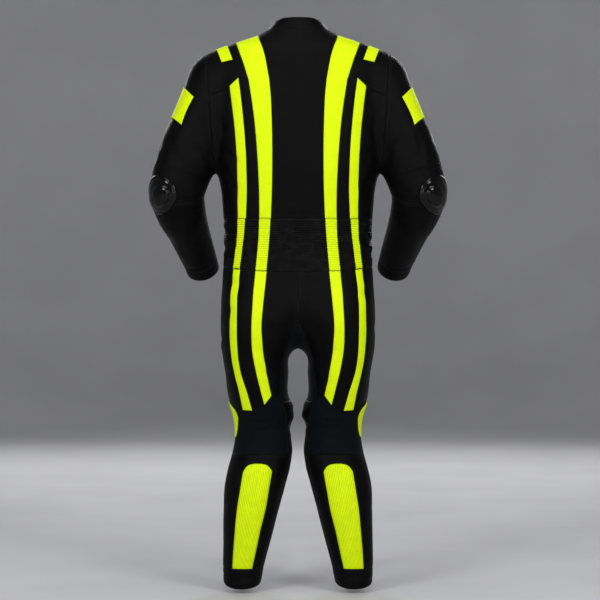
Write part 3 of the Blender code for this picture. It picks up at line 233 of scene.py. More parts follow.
def smoothRows(values, steps, cell, u):
    # values that lie steps apart, read on a smooth curve at the share u of each cell
    chords = np.diff(values, axis=0) / steps
    slopes = np.empty_like(values)
    slopes[1:-1] = (chords[:-1] * steps[1:] + chords[1:] * steps[:-1]) / (steps[1:] + steps[:-1])
    slopes[0], slopes[-1] = chords[0], chords[-1]
    h = steps[cell]
    return (
        (1 + 2 * u) * (1 - u) ** 2 * values[cell]
        + u * (1 - u) ** 2 * h * slopes[cell]
        + u * u * (3 - 2 * u) * values[cell + 1]
        + u * u * (u - 1) * h * slopes[cell + 1]
    )


def smoothTable(keys, values, samples=600):
    order = np.argsort(keys)
    keys, values = keys[order], values[order]
    steps = np.diff(keys)
    at = np.linspace(keys[0], keys[-1], samples)
    cell = np.clip(np.searchsorted(keys, at, side="right") - 1, 0, len(steps) - 1)
    return at, smoothRows(values, steps, cell, (at - keys[cell]) / steps[cell])


def tableReader(table, names, key="z"):
    keys = column(table, names, key)
    curves = {name: smoothTable(keys, column(table, names, name)) for name in names if name != key}
    return lambda name, at: np.interp(at, *curves[name])


torso = tableReader(torsoRows, torsoColumns)
leg = tableReader(legRows, legColumns)
stripes = tableReader(stripeRows, stripeColumns)
calf = tableReader(calfRows, calfColumns)
collar = tableReader(collarRows, collarColumns, "angle")
armSteps = np.arange(len(armRows), dtype=float)
armCurves = {name: smoothTable(armSteps, column(armRows, armColumns, name)) for name in armColumns}


def armLine(at):
    return np.stack([np.interp(at, *armCurves[name]) for name in ("x", "y", "z")], axis=-1)


def smoothStep(value, start, end):
    t = np.clip((value - start) / (end - start), 0, 1)
    return t * t * (3 - 2 * t)


def softUnion(first, second, softness):
    share = np.clip(0.5 + 0.5 * (second - first) / softness, 0, 1)
    return second * (1 - share) + first * share - softness * share * (1 - share)


def ovalField(x, y, half, back, front, power):
    depth = np.where(y > 0, back, front)
    reach = (np.abs(x / half) ** power + np.abs(y / depth) ** power) ** (1 / power)
    return (reach - 1) * np.minimum(half, depth)


knotSteps = np.linspace(0, len(armRows) - 1, 34)
armKnots = armLine(knotSteps)
armRadii = np.interp(knotSteps, *armCurves["radius"])


def armField(points):
    best = np.full(points.shape[:-1], 1.0)
    for a, b, ra, rb in zip(armKnots[:-1], armKnots[1:], armRadii[:-1], armRadii[1:]):
        along = b - a
        t = np.clip(((points - a) @ along) / (along @ along), 0, 1)
        gap = points - a - t[..., None] * along
        best = np.minimum(best, np.sqrt((gap * gap).sum(-1)) - (ra + (rb - ra) * t))
    return best


def bodyField(points):
    # negative inside the body, zero on its surface, for the half with X above zero
    x, y, z = points[..., 0], points[..., 1], points[..., 2]
    names = ("half", "back", "front", "power")
    trunkSizes, legSizes = ([table(name, z) for name in names] for table in (torso, leg))
    trunk = ovalField(x, y - torso("mid", z), *trunkSizes)
    legX, legY = leg("centre", z), y - leg("mid", z)
    legs = softUnion(ovalField(x - legX, legY, *legSizes), ovalField(x + legX, legY, *legSizes), thighBlend)
    hips = smoothStep(z, *hipsBlend)
    field = trunk * (1 - hips) + legs * hips
    near = (x > armInside) & (z > armLow)
    if near.any():
        field[near] = softUnion(field[near], armField(points[near]), armBlend)
    return field


def cast(origins, directions, far, steps=18, halvings=22):
    origins = np.asarray(origins, dtype=float)
    directions = np.asarray(directions, dtype=float)
    low = np.zeros(directions.shape[:-1])
    high = np.full(directions.shape[:-1], far)
    found = np.zeros(directions.shape[:-1], dtype=bool)
    for reach in np.linspace(far / steps, far, steps):
        outside = bodyField(origins + directions * reach) > 0
        first = outside & ~found
        high[first] = reach
        found |= outside
        low[~found] = reach
    for _ in range(halvings):
        middle = (low + high) / 2
        outside = bodyField(origins + directions * middle[..., None]) > 0
        high = np.where(outside, middle, high)
        low = np.where(outside, low, middle)
    return origins + directions * ((low + high) / 2)[..., None]


def axisAt(z):
    share = smoothStep(z, *axisBlend)
    y = torso("mid", np.maximum(z, trunkAxisLow)) * (1 - share) + leg("mid", z) * share
    return np.stack([share * leg("centre", z), y, z], axis=-1)


def fromChart(chart, halvings=22):
    # points on the body for rows of (angle, height)
    angle = np.radians(chart[..., 0])
    rays = np.stack([np.cos(angle), np.sin(angle), np.zeros_like(angle)], axis=-1)
    return cast(axisAt(chart[..., 1]), rays, castReach["trunk"], halvings=halvings)


def toChart(points, around):
    offset = points - axisAt(points[..., 2])
    angle = np.degrees(np.arctan2(offset[..., 1], offset[..., 0]))
    angle = around + (angle - around + 180) % 360 - 180
    return np.stack([angle, points[..., 2]], axis=-1)


def behind(x, z, front=False):
    # the point of the back, or of the front, that lies x from the middle at height z
    single = np.ndim(x) == 0
    x, z = np.broadcast_arrays(np.atleast_1d(x).astype(float), np.atleast_1d(z).astype(float))
    low = np.zeros(x.shape)
    high = np.full(x.shape, 180.0)
    for _ in range(20):
        middle = (low + high) / 2
        found = fromChart(np.stack([-middle if front else middle, z], axis=-1), halvings=11)
        outer = found[..., 0] > x
        low = np.where(outer, middle, low)
        high = np.where(outer, high, middle)
    middle = (low + high) / 2
    points = fromChart(np.stack([-middle if front else middle, z], axis=-1))
    points[..., 0] = x
    return points[0] if single else points


def onShoulder(x, y):
    start = np.array([[x, y, shoulderStart]])
    return cast(start, np.array([[0.0, 0.0, 1.0]]), castReach["shoulder"])[0]


def slopeAt(points):
    step = 0.5 * mm
    sides = [(bodyField(points + axis * step), bodyField(points - axis * step)) for axis in np.eye(3)]
    return np.stack([(more - less) / (2 * step) for more, less in sides], axis=-1)


def settle(points, rounds=5):
    # brings points near the body onto its surface
    for _ in range(rounds):
        slope = slopeAt(points)
        points = points - slope * (bodyField(points) / (slope * slope).sum(-1))[..., None]
    return points


def outwardAt(points):
    slope = slopeAt(points)
    return slope / np.linalg.norm(slope, axis=-1, keepdims=True)


def alongLine(points):
    gaps = np.sqrt((np.diff(points, axis=0) ** 2).sum(-1))
    return np.concatenate([[0], np.cumsum(gaps)])


def readLine(points, along, at):
    return np.stack([np.interp(at, along, points[:, k]) for k in range(3)], -1)


def evenly(points, count):
    points = np.asarray(points, dtype=float)
    along = alongLine(points)
    if len(points) > 2:
        curve = np.stack([smoothTable(along, points[:, k], curveSamples)[1] for k in range(3)], axis=-1)
    else:
        curve = points[0] + (points[1] - points[0]) * np.linspace(0, 1, curveSamples)[:, None]
    along = alongLine(curve)
    at = np.linspace(0, along[-1], count + 1)
    return readLine(curve, along, at)


def spread(points, count):
    even = evenly(points, count)
    if count > 1:
        even[1:-1] = settle(even[1:-1])
    return even


def chartLine(start, end, count, around):
    ends = toChart(np.stack([start, end]), around)
    chart = ends[0] + (ends[1] - ends[0]) * np.linspace(0, 1, count + 1)[:, None]
    line = fromChart(chart)
    line[0], line[-1] = start, end
    return line


def joined(*lines):
    return np.concatenate([lines[0]] + [line[1:] for line in lines[1:]])


def sleeveFrame(at):
    # centre, outward and backward way of a ring; 0 is the armhole, 1 the end of the fan, 2 the sleeve's end
    lean = math.atan(armholeLean)
    turn = lean + math.radians(fanTurn) * min(at, 1.0)
    outward = np.array([math.sin(turn), 0.0, math.cos(turn)])
    backward = np.array([0.0, 1.0, 0.0])
    if at <= 1:
        pivot = np.array([armpitPivot[0], 0.0, armpitPivot[1]])
        end = lean + math.radians(fanTurn)
        first = (armholeCentre - armpitPivot[1]) / math.cos(lean)
        last = (armLine(fanEndAt) - pivot) @ np.array([math.sin(end), 0.0, math.cos(end)])
        centre = pivot + outward * (first + (last - first) * at)
        centre[1] = armLine(fanEndAt)[1] * at
        return centre, outward, backward
    position = fanEndAt + (at - 1) * (sleeveEndAt - fanEndAt)
    along = armLine(position + frameStep) - armLine(position - frameStep)
    along /= np.linalg.norm(along)
    square = outward - (outward @ along) * along
    square /= np.linalg.norm(square)
    share = smoothStep(at, 1.0, fanSettled)
    outward = square * share + outward * (1 - share)
    outward /= np.linalg.norm(outward)
    backward = np.cross(square, along) * share + backward * (1 - share)
    backward -= (backward @ outward) * outward
    return armLine(position), outward, backward / np.linalg.norm(backward)


def sleeveGrid(positions, angles):
    # one row for each position along the sleeve; angles run from its outer side towards its back
    frames = [sleeveFrame(at) for at in positions]
    turn = np.radians(np.asarray(angles, dtype=float))
    turn = np.broadcast_to(turn, (len(frames), turn.shape[-1]))
    centres, outward, backward = (np.stack([f[k] for f in frames])[:, None] for k in range(3))
    rays = np.cos(turn)[..., None] * outward + np.sin(turn)[..., None] * backward
    return cast(np.broadcast_to(centres, rays.shape), rays, castReach["sleeve"], sleeveSteps)


def sleevePosition(armPosition):
    return 1 + (armPosition - fanEndAt) / (sleeveEndAt - fanEndAt)


# the seams, each a row of points on the body, for the half with X above zero


def stripeSeam(name, top, bottom, count):
    heights = np.linspace(bottom, top, max(4, round((top - bottom) / stripeStep)) + 1)
    return spread(behind(stripes(name, heights), heights), count)


def legSeam(rows, count):
    chart = np.array([(angle, z) for z, angle in rows], dtype=float)
    return spread(fromChart(chart), count)[::-1]


def waistAt(name):
    return waistAtMiddle + (waistAtSide - waistAtMiddle) * waistShares[name] ** 3


def centreLine(top, bottom, count, front=False):
    heights = np.linspace(bottom, top, count + 1)
    return behind(np.zeros(count + 1), heights, front)


def neckLine(first, last, count):
    angles = np.linspace(first, last, count + 1)
    return fromChart(np.stack([angles, collar("neckline", angles)], axis=-1))


def chainSeams(s, prefix, names, points, counts, around):
    # seams end to end through the points
    for name, first, last, count in zip(names, points, points[1:], counts):
        s[prefix + name] = chartLine(first, last, count, around)


def neckSeams(s, hole):
    s["neckBack"] = neckLine(90, neckAngle, 3)
    s["neckBack"][0][0] = 0.0
    front = neckLine(neckAngle, -90, 24)
    front = spread(front[: np.argmax(front[:, 0] < zipHalf) + 1], 4)
    front[-1] = behind(zipHalf, front[-1][2], front=True)
    s["neckFront"] = front
    tip, neckPoint = hole[0], s["neckBack"][-1]
    ends = {}
    for name, x in ridgeAt.items():
        ends[name] = onShoulder(x, ridgeForward * (tip[0] - x) / (tip[0] - neckPoint[0]))
    s["ridgeNeck"] = spread([neckPoint, ends["wideInner"]], 1)
    s["ridgeWide"] = spread([ends["wideInner"], ends["wideOuter"]], 1)
    s["ridgeTip"] = chartLine(ends["wideOuter"], tip, 4, 0)
    for name, x in ridgeAt.items():
        under = behind(stripes(name, yokeTopHeights), yokeTopHeights)
        over = [onShoulder(x - aside, y) for aside, y in ridgeOver] + [ends[name]]
        s[name + "Top"] = spread(np.concatenate([under, over]), 3)
        s[name + "Back"] = stripeSeam(name, yokeHeight["wideOuter"], lumbarTop, 7)
        s[name + "Top"][0] = s[name + "Back"][-1]


def backSeams(s, hole):
    half = sleeveColumns // 2
    for name in ("narrowInner", "narrowOuter"):
        s[name + "Back"] = stripeSeam(name, yokeHeight[name], lumbarTop, 7)
    for name in stripeNames:
        s[name + "Lumbar"] = stripeSeam(name, lumbarTop, waistAt(name), 3)
        s[name + "Hip"] = stripeSeam(name, waistAt(name), stripeEnd[name], 7)
        s[name + "Hip"][-1] = s[name + "Lumbar"][0]
        s[name + "Back"][0] = s[name + "Lumbar"][-1]
    s["sideUpper"] = spread([fromChart(np.array([[0.0, lumbarTop]]))[0], hole[half]], 2)
    s["sideLumbar"] = fromChart(np.stack([np.zeros(4), np.linspace(waistAtSide, lumbarTop, 4)], axis=-1))
    s["middleBack"] = centreLine(s["neckBack"][0][2], lumbarTop, 10)
    s["middleBack"][-1] = s["neckBack"][0]
    s["middleLumbar"] = centreLine(lumbarTop, waistAtMiddle, 3)
    for level, pick in (("lumbarTop", -1), ("waist", 0)):
        points = [s[name + "Lumbar"][pick] for name in ("middle", *stripeNames, "side")]
        chainSeams(s, level, bandNames, points, (4, 1, 1, 1, 2), 60)
    points = [s[name + "Back"][-1] for name in stripeNames[1:]] + [hole[yokeColumn]]
    chainSeams(s, "yoke", bandNames[2:], points, (1, 1, 2), 60)


def legSeams(s):
    fan = np.radians(np.linspace(*crotchFan, 7))
    start = np.array([0.0, *crotchCentre])
    rays = np.stack([np.zeros_like(fan), np.cos(fan), np.sin(fan)], axis=-1)
    s["crotch"] = cast(np.broadcast_to(start, rays.shape), rays, castReach["crotch"])
    seatLow, frontLow = s["crotch"][0], s["crotch"][-1]
    s["middleSeat"] = centreLine(waistAtMiddle, seatLow[2], 3)
    s["middleSeat"][0] = seatLow
    kneeInner = legSeam(kneeInnerSeam, 3)
    s["innerBack"] = spread([seatLow] + [behind(x, z) for x, z in innerBackSeam] + [kneeInner[-1]], 4)[::-1]
    frontLine = [frontLow] + [behind(x, z, front=True) for x, z in innerFrontSeam]
    s["innerFront"] = spread(frontLine, 4)[::-1]
    s["innerKnee"] = chartLine(s["innerBack"][0], s["innerFront"][0], 6, 180)
    s["outerThigh"] = legSeam(outerSeam, 7)
    s["outerThigh"][-1] = s["sideLumbar"][0]
    s["kneeOuter"] = legSeam(kneeOuterSeam, 3)
    s["kneeOuter"][-1] = s["outerThigh"][0]
    s["kneeInner"] = kneeInner
    s["calfOuter"] = legSeam(calfOuterSeam, 6)
    s["calfInner"] = legSeam(calfInnerSeam, 6)
    s["kneeOuter"][0], s["kneeInner"][0] = s["calfOuter"][-1], s["calfInner"][-1]
    points = [s["innerBack"][0]] + [s[name + "Hip"][0] for name in stripeNames] + [s["outerThigh"][0]]
    chainSeams(s, "knee", ("Seat", *bandNames[1:]), points, (4, 1, 1, 1, 2), 80)


def calfSeams(s):
    heights = np.linspace(hemTop, calfRows[0][0], 6)
    for name in ("inner", "outer"):
        s["calfPanel" + name] = behind(calf(name, heights), heights)
    arch = [s["calfPanelinner"][-1]] + [behind(x, z) for x, z in calfArch] + [s["calfPanelouter"][-1]]
    s["calfArch"] = np.array(arch)
    topInner, topOuter = (fromChart(toChart(behind(x, calfTop)[None], 90))[0] for x in calfTopSides)
    top = (s["calfInner"][-1], topInner, topOuter, s["calfOuter"][-1])
    low = [s[name][0] for name in ("calfInner", "calfPanelinner", "calfPanelouter", "calfOuter")]
    for prefix, points in (("calfTop", top), ("hem", low)):
        chainSeams(s, prefix, ("Inner", "Middle", "Outer"), points, (3, 4, 2), 90)
    s["bridgeInner"] = spread([s["calfPanelinner"][-1], topInner], 1)
    s["bridgeOuter"] = spread([s["calfPanelouter"][-1], topOuter], 1)
    s["hemFront"] = chartLine(s["calfOuter"][0], s["calfInner"][0], 12, -97)


def frontSeams(s):
    zipTop = s["neckFront"][-1]
    heights = np.linspace(waistAtSide, zipTop[2], 10)
    s["zipChest"] = behind(np.full(10, zipHalf), heights, front=True)
    s["zipChest"][-1] = zipTop
    heights = np.linspace(zipBottom, waistAtSide, 3)
    s["zipHips"] = behind(np.array(zipEndHalf), heights, front=True)
    s["middleFront"] = spread([s["crotch"][-1], s["zipHips"][0]], 1)
    s["waistFront"] = chartLine(s["zipHips"][-1], s["sideLumbar"][0], 6, -60)
    s["kneeFront"] = chartLine(s["innerFront"][0], s["outerThigh"][0], 6, -80)


def drawSeams():
    s = {}
    hole = sleeveGrid([0.0], np.linspace(0, 360, sleeveColumns + 1))[0]
    half = sleeveColumns // 2
    s["holeTop"] = hole[: yokeColumn + 1][::-1]
    s["holeBack"] = hole[yokeColumn : half + 1][::-1]
    s["holeFront"] = hole[half:]
    neckSeams(s, hole)
    backSeams(s, hole)
    legSeams(s)
    calfSeams(s)
    frontSeams(s)
    return s


seams = drawSeams()
print("seams:", len(seams))

# fine panels between the seams
weave = {"spacing": 5.5 * mm, "ribSpacing": 0.9 * mm, "edgeStep": 3.4 * mm}
weldSteps = 20000  # points that fall on the same step of a metre are one
cornerLimit = 0.45
onMiddle = 0.03 * mm
mirror = np.array([-1.0, 1.0, 1.0])


def side(names):
    # the seams of one side of a panel; a minus sign turns a seam round
    return [seams[name[1:]][::-1] if name[0] == "-" else seams[name] for name in names.split()]


def lineAt(points, at):
    # a smooth line through the points, read at positions counted in points
    if len(points) == 2:
        return points[0] + (points[1] - points[0]) * at[:, None]
    along = alongLine(points)
    wanted = np.interp(at, np.arange(len(points)), along)
    curves = [smoothTable(along, points[:, k], curveSamples) for k in range(3)]
    return np.stack([np.interp(wanted, *curve) for curve in curves], -1)


def sideAt(lines, at):
    found = np.empty((len(at), 3))
    start = 0
    for line in lines:
        mine = (at >= start) & (at <= start + len(line) - 1)
        found[mine] = lineAt(line, at[mine] - start)
        start += len(line) - 1
    found[1:-1] = settle(found[1:-1])
    return found


def divide(first, second, spacing=weave["spacing"]):
    # positions along two facing sides, about spacing apart
    lengths = (np.diff(alongLine(joined(*first))) + np.diff(alongLine(joined(*second)))) / 2
    at = [0.0]
    for i, length in enumerate(lengths):
        count = max(1, round(length / spacing))
        at += list(i + np.arange(1, count + 1) / count)
    at = np.array(at)
    if spacing < weave["edgeStep"]:
        where = np.interp(at, np.arange(len(lengths) + 1), np.concatenate([[0], np.cumsum(lengths)]))
        keep = (where > weave["edgeStep"]) & (where < where[-1] - weave["edgeStep"])
        keep[0] = keep[-1] = True
        at = at[keep]
    return at


def between(grid, at):
    # smooth rows of a grid at positions counted in rows, however unevenly the rows lie
    steps = np.maximum(np.linalg.norm(np.diff(grid, axis=0), axis=-1, keepdims=True), 1e-7)
    cell = np.clip(np.floor(at).astype(int), 0, len(grid) - 2)
    return smoothRows(grid, steps, cell, (at - cell)[:, None, None])


def blendSides(s, n, w, e, u, v):
    u, v = u[None, :, None], v[:, None, None]
    corners = (1 - u) * (1 - v) * s[0] + u * (1 - v) * s[-1] + (1 - u) * v * n[0] + u * v * n[-1]
    return (1 - v) * s[None] + v * n[None] + (1 - u) * w[:, None] + u * e[:, None] - corners


def cutGrid(south, north, west, east, around=None, across=None, rows=None):
    # the coarse cut first, then the same cut with fine rows and columns, all on the body
    sides = [side(names) for names in (south, north, west, east)]
    s, n, w, e = [joined(*lines) for lines in sides]
    u, v = np.linspace(0, 1, len(s)), np.linspace(0, 1, len(w))
    charted = [line if around is None else toChart(line, around) for line in (s, n, w, e)]
    coarse = np.empty((len(w), len(s), 3))
    inner = blendSides(*charted, u, v)[1:-1, 1:-1]
    if inner.size:
        coarse[1:-1, 1:-1] = settle(inner) if around is None else fromChart(inner)
    coarse[0], coarse[-1], coarse[:, 0], coarse[:, -1] = s, n, w, e
    columns = divide(sides[0], sides[1], across or weave["spacing"])
    rows = divide(sides[2], sides[3]) if rows is None else rows
    fine = between(between(coarse, rows).transpose(1, 0, 2), columns).transpose(1, 0, 2)
    s, n = sideAt(sides[0], columns), sideAt(sides[1], columns)
    w, e = sideAt(sides[2], rows), sideAt(sides[3], rows)
    w[0], w[-1], e[0], e[-1] = s[0], n[0], s[-1], n[-1]
    shift = blendSides(
        s - fine[0], n - fine[-1], w - fine[:, 0], e - fine[:, -1], columns / columns[-1], rows / rows[-1]
    )
    fine[1:-1, 1:-1] = settle((fine + shift)[1:-1, 1:-1])
    fine[0], fine[-1], fine[:, 0], fine[:, -1] = s, n, w, e
    return fine


def weld(grids):
    found, points, faces = {}, [], []
    for grid in grids:
        keys = np.round(grid * weldSteps).astype(int)
        index = np.empty(grid.shape[:2], dtype=int)
        for i in range(grid.shape[0]):
            for j in range(grid.shape[1]):
                key = tuple(keys[i, j])
                if key not in found:
                    found[key] = len(points)
                    points.append(grid[i, j])
                index[i, j] = found[key]
        for i in range(grid.shape[0] - 1):
            for j in range(grid.shape[1] - 1):
                face = (index[i, j], index[i, j + 1], index[i + 1, j + 1], index[i + 1, j])
                face = tuple(dict.fromkeys(face))
                if len(face) > 2:
                    faces.append(face)
    return np.array(points), faces


def rims(faces):
    edges = [(face[k], face[(k + 1) % len(face)]) for face in faces for k in range(len(face))]
    known = set(edges)
    return [edge for edge in edges if (edge[1], edge[0]) not in known]


def rimDirections(points, normals, edges):
    # for each point of the rim, the way into the panel, so long that the whole edge moves in evenly
    inward = {}
    for a, b in edges:
        run = points[b] - points[a]
        for end in (a, b):
            across = np.cross(normals[end], run)
            inward.setdefault(end, []).append(across / max(np.linalg.norm(across), 1e-12))
    index = np.array(sorted(inward))
    ways = []
    for end in index:
        sides = inward[end]
        share = 1 + sides[0] @ sides[-1] if len(sides) > 1 else 1
        ways.append(sum(sides) / max(share, cornerLimit))
    return index, np.array(ways)


# folds: each row is side, half width and depth in mm, then its points
backFolds = (  # points are sideways from the middle and height
    (1, 9, 2.6, (0.190, -0.285), (0.168, -0.312), (0.152, -0.352)),
    (1, 8, 2.0, (0.186, -0.262), (0.160, -0.268), (0.140, -0.282)),
    (1, 11, 2.2, (0.181, -0.330), (0.172, -0.372), (0.158, -0.412)),
    (1, 10, 1.6, (0.205, -0.165), (0.186, -0.190), (0.178, -0.226)),
    (-1, 9, 2.9, (0.190, -0.290), (0.171, -0.322), (0.158, -0.372)),
    (-1, 8, 1.7, (0.184, -0.255), (0.165, -0.262), (0.148, -0.262)),
    (-1, 12, 1.9, (0.182, -0.345), (0.166, -0.372), (0.146, -0.395)),
    (-1, 9, 1.5, (0.206, -0.140), (0.190, -0.178), (0.186, -0.214)),
    (1, 16, 1.6, (0.050, -0.120), (0.030, -0.150), (0.026, -0.210)),
    (-1, 18, 1.5, (0.045, -0.105), (0.036, -0.150), (0.020, -0.190)),
    (1, 9, 2.6, (0.010, -0.548), (0.000, -0.566), (0.000, -0.600)),
    (-1, 7, 2.8, (0.010, -0.552), (0.040, -0.603), (0.044, -0.640), (0.050, -0.690), (0.025, -0.737)),
    (1, 8, 2.4, (0.074, -0.676), (0.039, -0.698), (0.022, -0.721)),
    (1, 13, 3.0, (0.028, -0.742), (0.062, -0.746), (0.110, -0.728)),
    (-1, 14, 2.6, (0.034, -0.752), (0.070, -0.740), (0.104, -0.738)),
    (1, 9, 1.5, (0.110, -0.786), (0.084, -0.792), (0.060, -0.788)),
    (-1, 10, 1.4, (0.040, -0.800), (0.072, -0.812), (0.100, -0.806)),
    (1, 12, 1.7, (0.172, -0.560), (0.150, -0.580), (0.118, -0.588)),
    (-1, 12, 1.9, (0.178, -0.575), (0.160, -0.600), (0.128, -0.612)),
    (1, 10, 1.6, (0.176, -0.610), (0.166, -0.640), (0.150, -0.652)),
    (1, 6, 2.2, (0.062, -0.886), (0.086, -0.893), (0.120, -0.888)),
    (1, 5, 2.6, (0.050, -0.908), (0.080, -0.914), (0.128, -0.908)),
    (1, 6, 1.9, (0.044, -0.934), (0.074, -0.931), (0.098, -0.938)),
    (1, 6, 2.2, (0.060, -0.958), (0.094, -0.953), (0.128, -0.962)),
    (1, 5, 1.6, (0.052, -0.976), (0.078, -0.980), (0.100, -0.976)),
    (-1, 6, 2.5, (0.058, -0.890), (0.092, -0.886), (0.122, -0.894)),
    (-1, 5, 1.8, (0.048, -0.904), (0.072, -0.912), (0.096, -0.910)),
    (-1, 6, 2.4, (0.046, -0.928), (0.084, -0.926), (0.126, -0.934)),
    (-1, 5, 2.0, (0.064, -0.950), (0.090, -0.956), (0.110, -0.952)),
    (-1, 6, 1.9, (0.050, -0.972), (0.082, -0.968), (0.124, -0.978)),
    (1, 7, 1.6, (0.070, -1.006), (0.064, -1.050), (0.070, -1.090)),
    (-1, 8, 1.5, (0.150, -1.020), (0.160, -1.080), (0.162, -1.120)),
)
frontFolds = (
    (1, 10, 2.4, (0.182, -0.285), (0.150, -0.270), (0.118, -0.268)),
    (1, 9, 2.0, (0.188, -0.310), (0.160, -0.325), (0.128, -0.336)),
    (-1, 10, 2.2, (0.184, -0.275), (0.158, -0.252), (0.124, -0.244)),
    (-1, 9, 2.3, (0.188, -0.305), (0.156, -0.305), (0.120, -0.318)),
    (1, 15, 2.0, (0.150, -0.110), (0.165, -0.160), (0.172, -0.220)),
    (-1, 14, 2.2, (0.146, -0.090), (0.168, -0.150), (0.170, -0.200)),
    (1, 12, 2.6, (0.020, -0.400), (0.070, -0.408), (0.130, -0.392)),
    (1, 11, 2.2, (0.040, -0.452), (0.090, -0.462), (0.160, -0.446)),
    (1, 12, 2.4, (0.018, -0.494), (0.060, -0.500), (0.104, -0.488)),
    (-1, 12, 2.3, (0.018, -0.386), (0.060, -0.394), (0.104, -0.386)),
    (-1, 11, 2.7, (0.022, -0.430), (0.080, -0.442), (0.140, -0.424)),
    (-1, 12, 2.1, (0.050, -0.480), (0.100, -0.484), (0.164, -0.470)),
    (1, 12, 3.0, (0.018, -0.690), (0.060, -0.660), (0.120, -0.610)),
    (1, 11, 2.5, (0.022, -0.712), (0.070, -0.706), (0.130, -0.680)),
    (-1, 12, 2.8, (0.018, -0.680), (0.066, -0.640), (0.112, -0.604)),
    (-1, 12, 2.6, (0.024, -0.716), (0.080, -0.700), (0.142, -0.664)),
    (1, 10, 2.0, (0.050, -0.800), (0.090, -0.812), (0.140, -0.802)),
    (-1, 10, 2.2, (0.056, -0.790), (0.100, -0.798), (0.146, -0.784)),
    (1, 8, 2.4, (0.050, -0.846), (0.092, -0.856), (0.132, -0.848)),
    (-1, 8, 2.2, (0.046, -0.838), (0.088, -0.846), (0.124, -0.842)),
    (1, 8, 2.0, (0.056, -0.972), (0.090, -0.982), (0.126, -0.976)),
    (-1, 8, 2.3, (0.050, -0.964), (0.084, -0.974), (0.130, -0.970)),
    (1, 9, 1.6, (0.080, -1.040), (0.110, -1.060), (0.140, -1.100)),
    (-1, 9, 1.8, (0.086, -1.080), (0.104, -1.120), (0.112, -1.180)),
    (1, 7, 2.0, (0.100, -1.236), (0.136, -1.244), (0.170, -1.236)),
    (-1, 7, 1.8, (0.104, -1.224), (0.130, -1.230), (0.160, -1.226)),
)
legFolds = (  # points are the angle round the leg and height
    (1, 8, 2.2, (30, -0.480), (0, -0.488), (-40, -0.478)),
    (1, 9, 2.0, (24, -0.452), (-4, -0.446), (-30, -0.452)),
    (-1, 8, 2.4, (34, -0.464), (4, -0.472), (-34, -0.462)),
    (-1, 9, 1.8, (20, -0.500), (-6, -0.504), (-28, -0.496)),
    (1, 9, 2.0, (20, -0.700), (-6, -0.716), (-34, -0.708)),
    (-1, 10, 1.8, (14, -0.676), (-10, -0.690), (-30, -0.692)),
    (1, 8, 1.8, (14, -0.800), (-16, -0.812), (-44, -0.806)),
    (1, 8, 1.6, (150, -0.878), (182, -0.886), (214, -0.880)),
    (1, 9, -1.8, (148, -0.903), (178, -0.908), (206, -0.905)),
    (1, 8, 1.5, (150, -0.928), (186, -0.934), (216, -0.930)),
    (-1, 8, 1.4, (146, -0.872), (180, -0.880), (210, -0.876)),
    (-1, 9, -2.0, (150, -0.896), (184, -0.902), (214, -0.898)),
    (-1, 8, 1.7, (152, -0.922), (180, -0.926), (208, -0.932)),
    (1, 5, 1.8, (140, -1.284), (100, -1.289), (60, -1.284)),
    (1, 5, 1.4, (110, -1.302), (70, -1.299), (30, -1.294)),
    (1, 5, 1.6, (20, -1.286), (-30, -1.282), (-80, -1.285)),
    (-1, 5, 1.7, (130, -1.292), (95, -1.286), (50, -1.290)),
    (-1, 5, 1.3, (60, -1.303), (20, -1.298), (-20, -1.294)),
    (-1, 5, 1.7, (0, -1.283), (-50, -1.287), (-100, -1.281)),
)
sleeveFolds = (  # points are the position along the sleeve and the angle from its outer side
    (1, 9, 2.4, (0.10, 160), (0.30, 135), (0.52, 112)),
    (1, 9, 2.2, (0.14, 200), (0.34, 226), (0.60, 250)),
    (1, 10, 1.8, (0.30, 60), (0.62, 70), (0.92, 92)),
    (1, 11, 2.0, (0.70, 20), (0.92, 6), (1.06, -14)),
    (1, 10, 2.0, (0.02, 300), (0.16, 318), (0.34, 330)),
    (-1, 9, 2.7, (0.08, 156), (0.26, 128), (0.44, 100)),
    (-1, 9, 2.0, (0.16, 206), (0.40, 236), (0.66, 244)),
    (-1, 11, 1.8, (0.46, 74), (0.72, 84), (1.00, 100)),
    (-1, 10, 2.1, (0.62, 26), (0.82, 4), (1.00, -10)),
    (-1, 9, 1.8, (0.04, 296), (0.20, 312), (0.42, 318)),
    (1, 7, 3.0, (1.20, 210), (1.22, 260), (1.20, 312)),
    (1, 7, 2.6, (1.27, 198), (1.28, 250), (1.30, 300)),
    (1, 6, 2.4, (1.34, 214), (1.35, 262), (1.33, 318)),
    (1, 7, 2.0, (1.12, 226), (1.13, 274), (1.10, 322)),
    (-1, 7, 2.8, (1.19, 204), (1.21, 254), (1.22, 306)),
    (-1, 7, 2.8, (1.26, 216), (1.27, 268), (1.25, 320)),
    (-1, 6, 2.2, (1.33, 200), (1.34, 244), (1.36, 290)),
    (-1, 7, 2.2, (1.10, 220), (1.12, 262), (1.13, 310)),
    (1, 8, 1.6, (1.46, 110), (1.58, 86), (1.72, 80)),
    (1, 8, 1.8, (1.52, 250), (1.64, 284), (1.78, 300)),
    (-1, 8, 1.7, (1.44, 96), (1.54, 70), (1.68, 58)),
    (-1, 8, 1.5, (1.56, 262), (1.70, 280), (1.80, 276)),
    (1, 5, 1.5, (1.84, 30), (1.85, 90), (1.84, 150)),
    (-1, 5, 1.6, (1.85, 10), (1.84, 70), (1.86, 120)),
    (1, 5, 1.3, (1.86, 200), (1.85, 250), (1.86, 290)),
    (-1, 5, 1.4, (1.85, 190), (1.86, 240), (1.84, 300)),
)


foldSteps = 14


